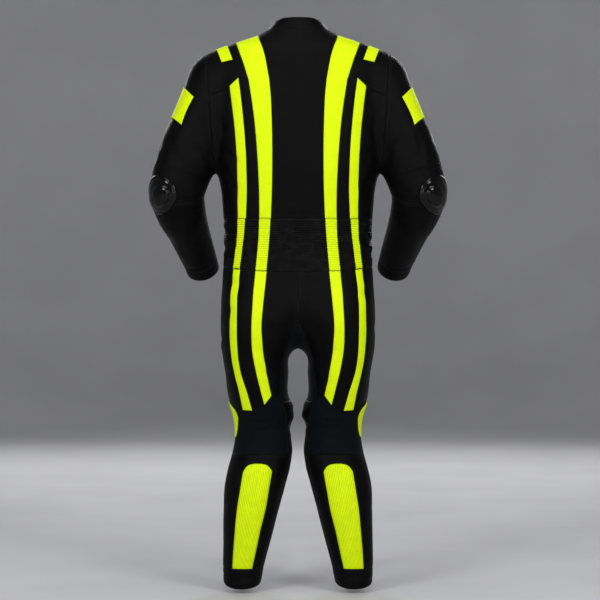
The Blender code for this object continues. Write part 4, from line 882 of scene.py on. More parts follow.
def foldLines():
    lines = []
    tables = (
        (backFolds, lambda p: behind(p[:, 0], p[:, 1])),
        (frontFolds, lambda p: behind(p[:, 0], p[:, 1], front=True)),
        (legFolds, fromChart),
        (sleeveFolds, lambda p: sleeveGrid(p[:, 0], p[:, 1:])[:, 0]),
    )
    for table, place in tables:
        found = place(np.array([point for row in table for point in row[3:]], dtype=float))
        for sideSign, width, depth, *points in table:
            line, found = found[: len(points)], found[len(points) :]
            lines.append((evenly(line, foldSteps), sideSign, width * mm, depth * mm))
    middles = settle(np.stack([line[0] for line in lines]))
    normals = outwardAt(middles)
    flips = [np.array([line[1], 1.0, 1.0]) for line in lines]
    return [(m * f, n * f, *line[2:]) for m, n, f, line in zip(middles, normals, flips, lines)]


folds = foldLines()
print("folds:", len(folds))


foldShape = {"reach": 3.2, "ends": 0.8, "facing": 0.4, "ridge": 0.42, "ridgeAt": 1.75, "ridgeFall": 1.6}
foldChange = {"share": 0.25, "along": 9.0, "byWidth": 700}  # how a fold's width changes along it


def foldHeight(points, normals):
    # soft troughs with low ridges beside them, fading out at both ends
    height = np.zeros(len(points))
    for line, lineNormals, width, depth in folds:
        reach = foldShape["reach"] * width
        near = np.all((points > line.min(0) - reach) & (points < line.max(0) + reach), axis=1)
        index = np.flatnonzero(near)
        if not len(index):
            continue
        best = np.full(len(index), 1.0)
        where = np.zeros(len(index))
        for k, (a, b) in enumerate(zip(line, line[1:])):
            run = b - a
            t = np.clip((points[index] - a) @ run / (run @ run), 0, 1)
            gap = np.linalg.norm(points[index] - a - t[:, None] * run, axis=1)
            closer = gap < best
            best[closer] = gap[closer]
            where[closer] = (k + t[closer]) / (len(line) - 1)
        facing = (normals[index] * lineNormals[len(line) // 2]).sum(-1)
        fade = np.sin(np.pi * np.clip(where, 0, 1)) ** foldShape["ends"]
        fade = fade * smoothStep(facing, 0.0, foldShape["facing"])
        wave = np.sin(foldChange["along"] * where + foldChange["byWidth"] * width)
        across = best / (width * (1 + foldChange["share"] * wave))
        ridge = foldShape["ridge"] * np.exp(-((across - foldShape["ridgeAt"]) ** 2) * foldShape["ridgeFall"])
        height[index] += depth * fade * (ridge - np.exp(-(across**2)))
    return height


unevenness = {"broad": 0.9 * mm, "broadSize": 0.085, "fine": 0.28 * mm, "fineSize": 0.024}


def ripple(points):
    sizes = [(unevenness[name], unevenness[name + "Size"]) for name in ("broad", "fine")]
    return np.array([sum(noise.noise(Vector(p) / size) * height for height, size in sizes) for p in points])


guardCentre = (4.98, 51.0)  # position along the sleeve and angle from its outer side
guardMiddle = sleeveGrid([sleevePosition(guardCentre[0])], [guardCentre[1]])[0, 0]
guardCalm = (0.030, 0.062)  # the sleeve is smooth under a guard and has its folds again beyond it


def baseHeight(points, normals):
    # folds and unevenness that run on from one panel to the next
    away = points - guardMiddle
    away[:, 0] = np.abs(points[:, 0]) - np.abs(guardMiddle[0])
    calm = smoothStep(np.linalg.norm(away, axis=1), *guardCalm)
    return (foldHeight(points, normals) + ripple(points)) * calm


# each panel's own relief
puff = {"height": 0.9 * mm, "reach": 8 * mm, "stretch": 0.5, "flat": 0.25}
ribEdge = (1 * mm, 5 * mm)
ribPower = 0.7
lumbarRibs = {"pitch": 5.4 * mm, "height": 1.3 * mm}
calfRibs = {"count": 17, "height": 1.0 * mm}
collarRoll = {
    "height": 1.4 * mm,
    "at": 0.80,
    "width": 0.20,
    "ribs": 3,
    "ribHeight": 0.35 * mm,
    "ribsFrom": (0.4, 0.6),
    "back": 0.014,
}


def puffed(points, edge):
    return puff["height"] * (1 - np.exp(-edge / puff["reach"]))


def ribWave(phase):
    return np.abs(np.sin(np.pi * phase)) ** ribPower


def ribbed(phase, edge):
    return ribWave(phase) * smoothStep(edge, *ribEdge)


def lumbarPhase(points):
    return (points[:, 2] - waistAtMiddle) / lumbarRibs["pitch"]


def calfPhase(points):
    x, z = np.abs(points[:, 0]), points[:, 2]
    inner, outer = calf("inner", z), calf("outer", z)
    return (x - inner) / (outer - inner) * calfRibs["count"], (outer - inner) / calfRibs["count"]


def lumbarRelief(points, edge):
    return lumbarRibs["height"] * ribbed(lumbarPhase(points), edge)


def lumbarStripeRelief(points, edge):
    return lumbarRibs["height"] * ribWave(lumbarPhase(points))


# how far a point lies from the nearest lumbar rib valley, where the finish paints shade
def lumbarValley(points):
    phase = lumbarPhase(points)
    return np.abs(phase - np.round(phase)) * lumbarRibs["pitch"]


# the same for the calf ribs
def calfValley(points):
    phase, pitch = calfPhase(points)
    return np.abs(phase - np.round(phase)) * pitch


def calfRelief(points, edge):
    return calfRibs["height"] * ribbed(calfPhase(points)[0], edge)


def collarRelief(points, edge):
    angle = np.degrees(np.arctan2(points[:, 1] + collarRoll["back"], np.abs(points[:, 0])))
    low, high = collar("neckline", angle), collar("top", angle)
    share = np.clip((points[:, 2] - low) / (high - low), 0, 1)
    roll = np.exp(-(((share - collarRoll["at"]) / collarRoll["width"]) ** 2)) * collarRoll["height"]
    wave = np.sin(share * collarRoll["ribs"] * 2 * np.pi) * collarRoll["ribHeight"]
    return puffed(points, edge) * puff["stretch"] + roll + wave * smoothStep(share, *collarRoll["ribsFrom"])


def stretchRelief(points, edge):
    return puff["stretch"] * puffed(points, edge)


def flatRelief(points, edge):
    return puff["flat"] * puffed(points, edge)


# finishes; the groups take sizes in millimetres
perMetre = 1000.0


def newGroup(name, values, results):
    # every group takes a place and some numbers, and gives numbers
    group = bpy.data.node_groups.new(name, "ShaderNodeTree")
    group.interface.new_socket("Vector", in_out="INPUT", socket_type="NodeSocketVector")
    for label, value in values.items():
        group.interface.new_socket(label, in_out="INPUT", socket_type="NodeSocketFloat").default_value = value
    for label in results:
        group.interface.new_socket(label, in_out="OUTPUT", socket_type="NodeSocketFloat")
    given, result = group.nodes.new("NodeGroupInput"), group.nodes.new("NodeGroupOutput")
    return group, Wiring(group), given.outputs, result.inputs


class Wiring:
    def __init__(self, tree):
        self.tree = tree

    def put(self, value, socket):
        if isinstance(value, bpy.types.NodeSocket):
            self.tree.links.new(value, socket)
        else:
            socket.default_value = value

    def add(self, kind, inputs=(), **settings):
        node = self.tree.nodes.new(kind)
        for name, value in settings.items():
            setattr(node, name, value)
        for name, value in dict(inputs).items():
            self.put(value, node.inputs[name])
        return node

    def sum(self, operation, first, second):
        return self.add("ShaderNodeMath", {0: first, 1: second}, operation=operation).outputs[0]

    def ramp(self, value, low, high):
        inputs = {"Value": value, "From Min": low, "From Max": high}
        return self.add("ShaderNodeMapRange", inputs, interpolation_type="SMOOTHSTEP").outputs["Result"]

    def mix(self, share, first, second):
        # a colour mix has its factor and its two colours in sockets 0, 6 and 7
        return self.add("ShaderNodeMix", {0: share, 6: first, 7: second}, data_type="RGBA").outputs[2]

    def cloud(self, place, scale, detail):
        inputs = {"Vector": place, "Scale": scale, "Detail": detail}
        return self.add("ShaderNodeTexNoise", inputs).outputs["Fac"]


grainEffect = {"warpScale": 220.0, "warp": 0.9 * mm, "bead": (0.0, 0.32), "creaseScale": 95.0}
mottleEffect = {"mask": (0.35, 0.68), "dustScale": 700.0, "dust": (0.62, 0.80)}
# the groove range, in mm from a seam, is where the painted shade of the seam grooves fades out
wearEffect = {"patchScale": 60.0, "patches": (0.42, 0.66), "grooveShade": (0.2, 1.0)}
knitEffect = {"rows": 0.6, "columns": 0.8, "columnShare": 0.5, "shadeScale": 40.0}


def pebbleGrainGroup():
    group, wire, given, result = newGroup("pebbleGrain", {"Cell": 1.2, "Creasing": 0.5}, ("Height", "Valley"))
    place = given["Vector"]
    warp = wire.add("ShaderNodeTexNoise", {"Vector": place, "Scale": grainEffect["warpScale"], "Detail": 2.0})
    by = (grainEffect["warp"],) * 3
    moved = wire.add("ShaderNodeVectorMath", {0: warp.outputs["Color"], 1: by}, operation="MULTIPLY")
    warped = wire.add("ShaderNodeVectorMath", {0: place, 1: moved.outputs[0]}, operation="ADD")
    inputs = {"Vector": warped.outputs[0], "Scale": wire.sum("DIVIDE", perMetre, given["Cell"])}
    cells = wire.add("ShaderNodeTexVoronoi", inputs, feature="DISTANCE_TO_EDGE")
    bead = wire.ramp(cells.outputs["Distance"], *grainEffect["bead"])
    creases = wire.cloud(place, grainEffect["creaseScale"], detail=5.0)
    folded = wire.sum("MULTIPLY", creases, given["Creasing"])
    wire.put(wire.sum("ADD", bead, folded), result["Height"])
    # the valleys between the beads; the leather finish darkens them as painted shade and makes them rougher
    wire.put(wire.sum("SUBTRACT", 1.0, bead), result["Valley"])
    return group


def dyeMottleGroup():
    group, wire, given, result = newGroup("dyeMottle", {"Size": 30.0}, ("Mask", "Dust"))
    scale = wire.sum("DIVIDE", perMetre, given["Size"])
    mask = wire.cloud(given["Vector"], scale, detail=4.0)
    dust = wire.cloud(given["Vector"], mottleEffect["dustScale"], detail=2.0)
    wire.put(wire.ramp(mask, *mottleEffect["mask"]), result["Mask"])
    wire.put(wire.ramp(dust, *mottleEffect["dust"]), result["Dust"])
    return group


def seamWearAndShadeGroup():
    # Edge is the distance from the seam in millimetres; the first result is rubbed wear near the seams, the
    # second is painted shade that darkens the seam grooves
    group, wire, given, result = newGroup("seamWearAndShade", {"Edge": 30.0, "Reach": 3.0}, ("Wear", "GrooveShade"))
    away = wire.ramp(wire.sum("DIVIDE", given["Edge"], given["Reach"]), 0.0, 1.0)
    patches = wire.cloud(given["Vector"], wearEffect["patchScale"], detail=5.0)
    patchy = wire.ramp(patches, *wearEffect["patches"])
    wire.put(wire.sum("MULTIPLY", wire.sum("SUBTRACT", 1.0, away), patchy), result["Wear"])
    wire.put(wire.sum("SUBTRACT", 1.0, wire.ramp(given["Edge"], *wearEffect["grooveShade"])), result["GrooveShade"])
    return group


waveTurn = 20  # a wave texture of scale 1 turns by this many radians in a metre


def knitGroup():
    group, wire, given, result = newGroup("knitRib", {"Pitch": 1.1}, ("Height", "Shade"))
    scale = wire.sum("DIVIDE", perMetre / waveTurn * math.pi, given["Pitch"])
    inputs = {"Vector": given["Vector"], "Scale": scale, "Distortion": knitEffect["rows"], "Detail": 1.0}
    rows = wire.add("ShaderNodeTexWave", inputs, bands_direction="Z")
    inputs = {"Vector": given["Vector"], "Scale": scale, "Distortion": knitEffect["columns"]}
    turned = wire.add("ShaderNodeTexWave", inputs, bands_direction="X")
    share = knitEffect["columnShare"]
    softer = wire.sum("ADD", wire.sum("MULTIPLY", turned.outputs["Fac"], share), 1 - share)
    both = wire.sum("MULTIPLY", rows.outputs["Fac"], softer)
    wire.put(both, result["Height"])
    # the lighter tone follows the raised knit rows and a cloud: partly painted highlight on the raised rows,
    # partly random tone
    shade = wire.cloud(given["Vector"], knitEffect["shadeScale"], detail=4.0)
    wire.put(wire.sum("MULTIPLY", both, shade), result["Shade"])
    return group


groups = {
    "grain": pebbleGrainGroup(),
    "mottle": dyeMottleGroup(),
    "wear": seamWearAndShadeGroup(),
    "knit": knitGroup(),
}


def newFinish(name):
    material = bpy.data.materials.new(name)
    material.use_nodes = True
    wire = Wiring(material.node_tree)
    shader = material.node_tree.nodes["Principled BSDF"]
    place = wire.add("ShaderNodeTexCoord").outputs["Object"]
    return material, wire, shader, place


def placeGroup(wire, name, **values):
    return wire.add("ShaderNodeGroup", values, node_tree=groups[name]).outputs


def bumped(wire, shader, height, distance, strength):
    bump = wire.add("ShaderNodeBump", {"Height": height, "Distance": distance, "Strength": strength})
    wire.put(bump.outputs["Normal"], shader.inputs["Normal"])


# groove is how far the painted groove shade goes towards the deep colour; valleyRough and bump act on the grain
leatherSurface = {"grooveShade": 0.7, "valleyRough": 0.12, "bump": 0.55}


def leatherFinish(name, look):
    material, wire, shader, place = newFinish(name)
    edge = wire.add("ShaderNodeAttribute", attribute_name="edgeMm").outputs["Fac"]
    grain = placeGroup(wire, "grain", Vector=place, Cell=look["cell"], Creasing=look["creasing"])
    mottle = placeGroup(wire, "mottle", Vector=place, Size=look["mottleSize"])
    wear = placeGroup(wire, "wear", Vector=place, Edge=edge, Reach=look["wearReach"])
    colour = wire.mix(mottle["Mask"], look["colour"], look["faded"])
    # the grain valleys and the seam and rib grooves take the deep colour as painted shade; the worn colour near
    # the seams is real wear
    layers = (
        (grain["Valley"], look["valley"], "deep"),
        (wear["Wear"], look["wear"], "worn"),
        (wear["GrooveShade"], leatherSurface["grooveShade"], "deep"),
    )
    for mask, share, shade in layers:
        colour = wire.mix(wire.sum("MULTIPLY", mask, share), colour, look[shade])
    wire.put(colour, shader.inputs["Base Color"])
    rough = wire.sum("ADD", wire.sum("MULTIPLY", mottle["Mask"], look["roughChange"]), look["roughness"])
    rough = wire.sum("ADD", wire.sum("MULTIPLY", grain["Valley"], leatherSurface["valleyRough"]), rough)
    wire.put(rough, shader.inputs["Roughness"])
    # the yellow also gives off light in its own colour: a painted glow that lifts it evenly, lit or shaded
    if look["glow"]:
        wire.put(colour, shader.inputs["Emission Color"])
        shader.inputs["Emission Strength"].default_value = look["glow"]
    shader.inputs["Specular IOR Level"].default_value = look["specular"]
    bumped(wire, shader, grain["Height"], look["depth"], leatherSurface["bump"])
    return material


blackLook = {
    "colour": (0.0021, 0.0020, 0.0022, 1),
    "faded": (0.0036, 0.0035, 0.0038, 1),
    # deep is the painted shade colour of the grain valleys and the seam and rib grooves
    "deep": (0.0012, 0.0012, 0.0012, 1),
    "worn": (0.0150, 0.0150, 0.0155, 1),
    "cell": 1.5,
    "creasing": 0.7,
    "mottleSize": 34.0,
    "wearReach": 3.4,
    "valley": 0.5,
    "wear": 0.5,
    "roughness": 0.36,
    "roughChange": 0.10,
    "specular": 0.045,
    "depth": 0.00022,
    "glow": 0.0,
}
yellowLook = {
    **blackLook,
    "colour": (0.690, 0.900, 0.002, 1),
    "faded": (0.730, 0.930, 0.004, 1),
    # the yellow's painted shade colour for its grain valleys and grooves
    "deep": (0.300, 0.420, 0.001, 1),
    "worn": (0.480, 0.620, 0.004, 1),
    "mottleSize": 26.0,
    "wearReach": 3.0,
    "valley": 0.35,
    "wear": 0.35,
    "roughness": 0.46,
    "roughChange": 0.08,
    "specular": 0.08,
    "depth": 0.00020,
    "glow": 0.062,
}
clothSurface = {"sheenRoughness": 0.4, "specular": 0.06, "shade": 0.15, "depth": 0.00022, "bump": 0.6}
liningLook = {"colour": (0.020, 0.020, 0.022, 1), "faded": (0.032, 0.032, 0.035, 1), "pitch": 2.2}
stretchLook = {"colour": (0.0016, 0.0020, 0.0030, 1), "faded": (0.0050, 0.0060, 0.0085, 1), "pitch": 1.5}
tapeLook = {"colour": (0.0080, 0.0080, 0.0086, 1), "faded": (0.0150, 0.0150, 0.0160, 1), "pitch": 0.9}
threadLook = {
    "black": {"colour": (0.010, 0.010, 0.011, 1), "faded": (0.022, 0.022, 0.024, 1), "pitch": 0.5},
    "yellow": {"colour": (0.430, 0.700, 0.006, 1), "faded": (0.520, 0.820, 0.010, 1), "pitch": 0.5},
}


def clothFinish(name, look, sheen=0.04, roughness=0.8):
    material, wire, shader, place = newFinish(name)
    knit = placeGroup(wire, "knit", Vector=place, Pitch=look["pitch"])
    # the raised knit rows are painted lighter: painted highlight mixed with random tone
    wire.put(wire.mix(knit["Shade"], look["colour"], look["faded"]), shader.inputs["Base Color"])
    rough = wire.sum("SUBTRACT", roughness, wire.sum("MULTIPLY", knit["Shade"], clothSurface["shade"]))
    wire.put(rough, shader.inputs["Roughness"])
    shader.inputs["Sheen Weight"].default_value = sheen
    shader.inputs["Sheen Roughness"].default_value = clothSurface["sheenRoughness"]
    shader.inputs["Specular IOR Level"].default_value = clothSurface["specular"]
    bumped(wire, shader, knit["Height"], look["pitch"] * clothSurface["depth"], clothSurface["bump"])
    return material


shellLook = {
    "colour": (0.0022, 0.0022, 0.0025, 1),
    "metallic": 0.0,
    "roughness": 0.10,
    "coat": 0.10,
    "specular": 0.17,
}
metalLook = {"colour": (0.30, 0.30, 0.31, 1), "metallic": 1.0, "roughness": 0.30, "coat": 0.0, "specular": 0.5}
hardSurface = {
    "mottleSize": 9.0,
    "darker": 0.7,
    "scratchScale": 260.0,
    "scratched": 0.8,
    "smooth": 0.6,
    "dust": 0.12,
    "coatRoughness": 0.06,
    "depth": 0.00006,
    "bump": 0.4,
}


def hardFinish(name, look):
    material, wire, shader, place = newFinish(name)
    mottle = placeGroup(wire, "mottle", Vector=place, Size=hardSurface["mottleSize"])
    darker = tuple(c * hardSurface["darker"] for c in look["colour"][:3]) + (1,)
    wire.put(wire.mix(mottle["Mask"], look["colour"], darker), shader.inputs["Base Color"])
    scratch = wire.cloud(place, hardSurface["scratchScale"], detail=6.0)
    rough = wire.sum("MULTIPLY", scratch, look["roughness"] * hardSurface["scratched"])
    rough = wire.sum("ADD", rough, look["roughness"] * hardSurface["smooth"])
    rough = wire.sum("ADD", wire.sum("MULTIPLY", mottle["Dust"], hardSurface["dust"]), rough)
    wire.put(rough, shader.inputs["Roughness"])
    shader.inputs["Metallic"].default_value = look["metallic"]
    shader.inputs["Coat Weight"].default_value = look["coat"]
    shader.inputs["Specular IOR Level"].default_value = look["specular"]
    shader.inputs["Coat Roughness"].default_value = hardSurface["coatRoughness"]
    bumped(wire, shader, scratch, hardSurface["depth"], hardSurface["bump"])
    return material


finishes = {
    "black": leatherFinish("blackLeatherGrain", blackLook),
    "yellow": leatherFinish("neonLeatherGrain", yellowLook),
    "stretch": clothFinish("stretchKnit", stretchLook, sheen=0.03),
    "lining": clothFinish("meshLining", liningLook),
    "tape": clothFinish("zipTapeWeave", tapeLook),
    "shell": hardFinish("guardShellGloss", shellLook),
    "metal": hardFinish("zipMetalBrushed", metalLook),
    "blackThread": clothFinish("blackThread", threadLook["black"], roughness=0.6),
    "yellowThread": clothFinish("yellowThread", threadLook["yellow"], roughness=0.6),
}
print("finishes:", len(finishes))

# the pieces; rolledEdge is how far in from the seam each rim ring lies, and how deep
rolledEdge = ((2.3 * mm, 0.0), (0.95 * mm, -0.12 * mm), (0.25 * mm, -0.60 * mm), (0.03 * mm, -1.0 * mm))
liningEdge = 30 * mm  # the lining counts as this far from any seam
stitching = {"pitch": 4.4 * mm, "length": 3.1 * mm, "radius": 0.34 * mm, "rows": (2.4 * mm, 7.2 * mm)}


def makeMesh(name, points, faces, materials, marks=None, fromSeam=None):
    mesh = bpy.data.meshes.new(name)
    mesh.from_pydata([tuple(p) for p in points], [], faces)
    for material in materials:
        mesh.materials.append(material)
    if marks is not None:
        mesh.polygons.foreach_set("material_index", marks)
    if fromSeam is not None:
        mesh.attributes.new("edgeMm", "FLOAT", "POINT").data.foreach_set("value", fromSeam)
    mesh.polygons.foreach_set("use_smooth", [True] * len(faces))
    mesh.update()
    thing = bpy.data.objects.new(name, mesh)
    bpy.context.scene.collection.objects.link(thing)
    return thing


def edgeDistance(points, edges):
    ends = np.array([points[[a, b]] for a, b in edges])
    samples = np.concatenate([ends[:, 0] * (1 - t) + ends[:, 1] * t for t in (0, 0.25, 0.5, 0.75)])
    tree = KDTree(len(samples))
    for k, p in enumerate(samples):
        tree.insert(p, k)
    tree.balance()
    return np.array([tree.find(p)[2] for p in points])


def surfaceAt(points, relief, edge, lift, flip):
    # the panel's outer face at points of the body on its left half, for either side of the suit
    normals = outwardAt(points)
    own = relief(points, edge)
    placed, turned = points * flip, normals * flip
    return placed + turned * (lift + own + baseHeight(placed, turned))[:, None], turned


def stitchTemplate():
    # a thread's stretch above the leather: four-sided, thin and sunk at both ends
    length, radius = stitching["length"], stitching["radius"]
    stations = ((-0.5, 0.35, -0.35), (-0.3, 0.95, 0.45), (0.3, 0.95, 0.45), (0.5, 0.35, -0.35))
    points, faces = [], []
    for along, size, rise in stations:
        for k in range(4):
            turn = math.pi / 2 * k
            across, up = math.cos(turn) * radius * size, math.sin(turn) * radius * size
            points.append((along * length, across, rise * radius + up))
    for r in range(len(stations) - 1):
        for k in range(4):
            a, b = r * 4 + k, r * 4 + (k + 1) % 4
            faces.append((a, b, b + 4, a + 4))
    last = (len(stations) - 1) * 4
    faces += [(3, 2, 1, 0), (last, last + 1, last + 2, last + 3)]
    return np.array(points), faces


stitchPoints, stitchFaces = stitchTemplate()


def rimLoops(edges):
    after = dict(edges)
    loops = []
    while after:
        start, follow = next(iter(after.items()))
        loop = [start]
        while follow in after and follow != start:
            loop.append(follow)
            follow = after.pop(follow)
        after.pop(start, None)
        loops.append(loop)
    return loops


def sewStitches(name, loops, points, inward, relief, lift, flip, thread, rows):
    made, faces = [], []
    for inset in rows:
        for loop in loops:
            line = points[loop] + inward[loop] * inset
            line = np.concatenate([line, line[:1]])
            along = alongLine(line)
            count = int(along[-1] / stitching["pitch"])
            if count < 3:
                continue
            at = (np.arange(count) + 0.5) * along[-1] / count
            where = settle(readLine(line, along, at))
            ahead = readLine(line, along, at + 0.5 * mm)
            placed, turned = surfaceAt(where, relief, np.full(count, inset), lift, flip)
            run = (ahead - where) * flip
            run -= turned * (run * turned).sum(-1, keepdims=True)
            run /= np.linalg.norm(run, axis=-1, keepdims=True)
            cross = np.cross(turned, run)
            for p, x, y, z in zip(placed, run, cross, turned):
                start = len(made) * len(stitchPoints)
                made.append(p + stitchPoints @ np.stack([x, y, z]))
                faces += [tuple(v + start for v in face) for face in stitchFaces]
    if not made:
        return None
    thing = makeMesh(name, np.concatenate(made), faces, [finishes[thread]])
    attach(thing, "suit")
    return thing


def turnedOut(points, normals, faces):
    face = faces[len(faces) // 2]
    a, b, c = (points[v] for v in face[:3])
    outward = np.cross(b - a, c - b) @ normals[face[0]] > 0
    return faces if outward else [tuple(reversed(face)) for face in faces]


def widest(grid):
    return float(np.linalg.norm(np.diff(grid, axis=1), axis=-1).sum(axis=1).max())


def sew(node, grids, finish, across=False, **shape):
    # one panel right across the middle, or a panel on the left and its mirror image, each with its own folds
    wide = sum(widest(grid) for grid in grids) * (2 if across else 1)
    shape["cut"] = (wide, max(widest(grid.transpose(1, 0, 2)) for grid in grids))
    points, faces = weld(grids)
    normals = outwardAt(points)
    faces = turnedOut(points, normals, faces)
    if across:
        whole, keep = mergeHalves(points, points * mirror)
        faces = faces + [tuple(keep[v] for v in reversed(face)) for face in faces]
        flips = np.where(np.arange(len(whole)) < len(points), 1.0, -1.0)
        flip = flipRows(flips)
        build(node, whole, outwardAt(whole * flip) * flip, faces, finish, flips, **shape)
        return
    ones = np.ones(len(points))
    build(node + "_left", points, normals, faces, finish, ones, **shape)
    faces = [tuple(reversed(face)) for face in faces]
    build(node + "_right", points * mirror, normals * mirror, faces, finish, -ones, **shape)


def mergeHalves(points, other):
    # points on the middle line serve both halves
    keep, extra = {}, []
    for k, p in enumerate(other):
        if abs(p[0]) < onMiddle:
            keep[k] = k
        else:
            keep[k] = len(points) + len(extra)
            extra.append(p)
    return np.concatenate([points, np.array(extra)]), keep


def flipRows(flips):
    return np.stack([flips, np.ones_like(flips), np.ones_like(flips)], axis=-1)


def closeShell(faces, edges, index, count, ringCount):
    # the outer face, its rim rings, and the lining behind it
    rings = [{v: v for v in index}]
    rings += [{v: count + r * len(index) + k for k, v in enumerate(index)} for r in range(ringCount)]
    innerStart = count + ringCount * len(index)
    solid = list(faces)
    for near, far in zip(rings, rings[1:]):
        solid += [(near[b], near[a], far[a], far[b]) for a, b in edges]
    outside = len(solid)
    last = rings[-1]
    solid += [(last[b], last[a], a + innerStart, b + innerStart) for a, b in edges]
    solid += [tuple(v + innerStart for v in reversed(face)) for face in faces]
    return solid, [0] * outside + [1] * (len(solid) - outside)


def build(node, points, normals, faces, finish, flips, cut, relief=puffed, valley=None,
          wall=leatherWall, lift=0.0, scallop=0.0, doubleRow=True):
    edges = rims(faces)
    index, ways = rimDirections(points, normals, edges)
    inward = np.zeros_like(points)
    inward[index] = ways
    flip = flipRows(flips)
    distance = edgeDistance(points, edges)
    distance[index] = rolledEdge[0][0]
    own = relief(points * flip, distance)
    bay = scallop * (1 - np.abs(np.sin(np.pi * lumbarPhase(points))))
    base = lift + baseHeight(points, normals)
    skin = points + inward * (rolledEdge[0][0] + bay)[:, None] + normals * (base + own)[:, None]
    rimBase = base + own if lift else base
    rings = []
    for inset, drop in (*rolledEdge[1:], (rolledEdge[-1][0], -wall)):
        ring = points + inward * (inset + bay)[:, None] + normals * (rimBase + drop)[:, None]
        rings.append(ring[index])
    solid, marks = closeShell(faces, edges, index.tolist(), len(points), len(rings))
    # a rib valley counts as a seam for the finish, so the ribs get painted shade in their valleys as well as
    # wear; the rim rings lie within a millimetre of the seam and get the painted groove shade
    if valley:
        distance = np.minimum(distance, valley(points))
    fromSeam = [distance] + [np.full(len(index), inset) for inset, _ in rolledEdge[1:]]
    fromSeam = np.concatenate(fromSeam + [np.zeros(len(index)), np.full(len(points), liningEdge)]) * perMetre
    every = np.concatenate([skin, *rings, skin - normals * wall])
    thing = makeMesh(node + "_panel", every, solid, [finishes[finish], finishes["lining"]], marks, fromSeam)
    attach(thing, "suit")
    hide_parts(node)
    thread = "yellowThread" if finish == "yellow" else "blackThread"
    rows = stitching["rows"] if doubleRow else stitching["rows"][:1]
    for sign in sorted(set(flips)):
        loops = [[v for v in loop if flips[v] == sign] for loop in rimLoops(edges)]
        loops = [loop for loop in loops if loop]
        label = f"{node}_stitches" + ("" if len(set(flips)) == 1 else "_left" if sign > 0 else "_right")
        oneSide = np.array([sign, 1.0, 1.0])
        made = sewStitches(label, loops, points * flip, inward * flip, relief, lift, oneSide, thread, rows)


# the cut: each panel with its sides south, north, west and east, the angle it faces and its finish
kneeTop = "kneeSeat kneeWide kneeStrip kneeNarrow kneeSide"
calfLine = "calfTopInner calfTopMiddle calfTopOuter"
wideSides = ("wideInnerBack wideInnerTop", "wideOuterBack wideOuterTop")
sideSeam = "sideLumbar sideUpper holeFront"
shinSides = ("calfInner kneeInner", "calfOuter kneeOuter")
ridge = "ridgeNeck ridgeWide ridgeTip"
plainCuts = (
    ("back_wide_stripe", "lumbarTopWide", "ridgeWide", *wideSides, None, "yellow"),
    ("back_strip", "lumbarTopStrip", "yokeStrip", "wideOuterBack", "narrowInnerBack", 60, "black"),
    ("back_narrow_stripe", "lumbarTopNarrow", "yokeNarrow", "narrowInnerBack", "narrowOuterBack", 50, "yellow"),
    ("side_back", "lumbarTopSide", "yokeSide", "narrowOuterBack", "sideUpper holeBack", 30, "black"),
    ("shoulder", "yokeStrip yokeNarrow yokeSide", "ridgeTip", "wideOuterTop", "holeTop", None, "black"),
    ("seat", "kneeSeat", "waistMiddle", "innerBack middleSeat", "wideInnerHip", 90, "black"),
    ("hip_wide_stripe", "kneeWide", "waistWide", "wideInnerHip", "wideOuterHip", 60, "yellow"),
    ("hip_strip", "kneeStrip", "waistStrip", "wideOuterHip", "narrowInnerHip", 60, "black"),
    ("hip_narrow_stripe", "kneeNarrow", "waistNarrow", "narrowInnerHip", "narrowOuterHip", 60, "yellow"),
    ("outer_thigh", "kneeSide", "waistSide", "narrowOuterHip", "outerThigh", 20, "black"),
    ("front_chest", "waistFront", ridge, "zipChest -neckFront", sideSeam, -60, "black"),
    ("front_thigh", "kneeFront", "waistFront", "innerFront middleFront zipHips", "outerThigh", -60, "black"),
    ("back_centre", "lumbarTopMiddle", "neckBack ridgeNeck", "middleBack", wideSides[0], None, "black"),
    ("inner_thigh", "innerKnee", "crotch", "innerBack", "innerFront", 180, "stretch"),
    ("knee_back", calfLine, kneeTop, "kneeInner", "kneeOuter", 80, "stretch"),
    ("knee_and_shin", "-hemFront", "innerKnee kneeFront", *shinSides, 260, "black"),
)
singleRow = ("back_strip", "hip_strip")


def sewPlainPanels():
    for node, south, north, west, east, around, finish in plainCuts:
        shape = {"relief": stretchRelief, "wall": stretchWall} if finish == "stretch" else {}
        shape["doubleRow"] = finish == "black" and node not in singleRow
        grid = cutGrid(south, north, west, east, around)
        sew(node, [grid], finish, across=node == "back_centre", **shape)


lumbarStripes = {"above": 0.2 * mm, "wideBays": 1.0 * mm, "narrowBays": 2.3 * mm}


def sewLumbar():
    blocks = {}
    edges = ("middle", *stripeNames, "side")
    rows = divide(side("middleLumbar"), side("wideInnerLumbar"), weave["ribSpacing"])
    for name, west, east in zip(bandNames, edges, edges[1:]):
        sides = ("waist" + name, "lumbarTop" + name, west + "Lumbar", east + "Lumbar")
        blocks[name] = cutGrid(*sides, 60, rows=rows)
    ribbing = {"valley": lumbarValley, "doubleRow": False}
    sew("lumbar_accordion", list(blocks.values()), "black", across=True, relief=lumbarRelief, **ribbing)
    onTop = {"relief": lumbarStripeRelief, "lift": leatherWall + lumbarStripes["above"], **ribbing}
    sew("lumbar_wide_stripe", [blocks["Wide"]], "yellow", scallop=lumbarStripes["wideBays"], **onTop)
    sew("lumbar_narrow_stripe", [blocks["Narrow"]], "yellow", scallop=lumbarStripes["narrowBays"], **onTop)


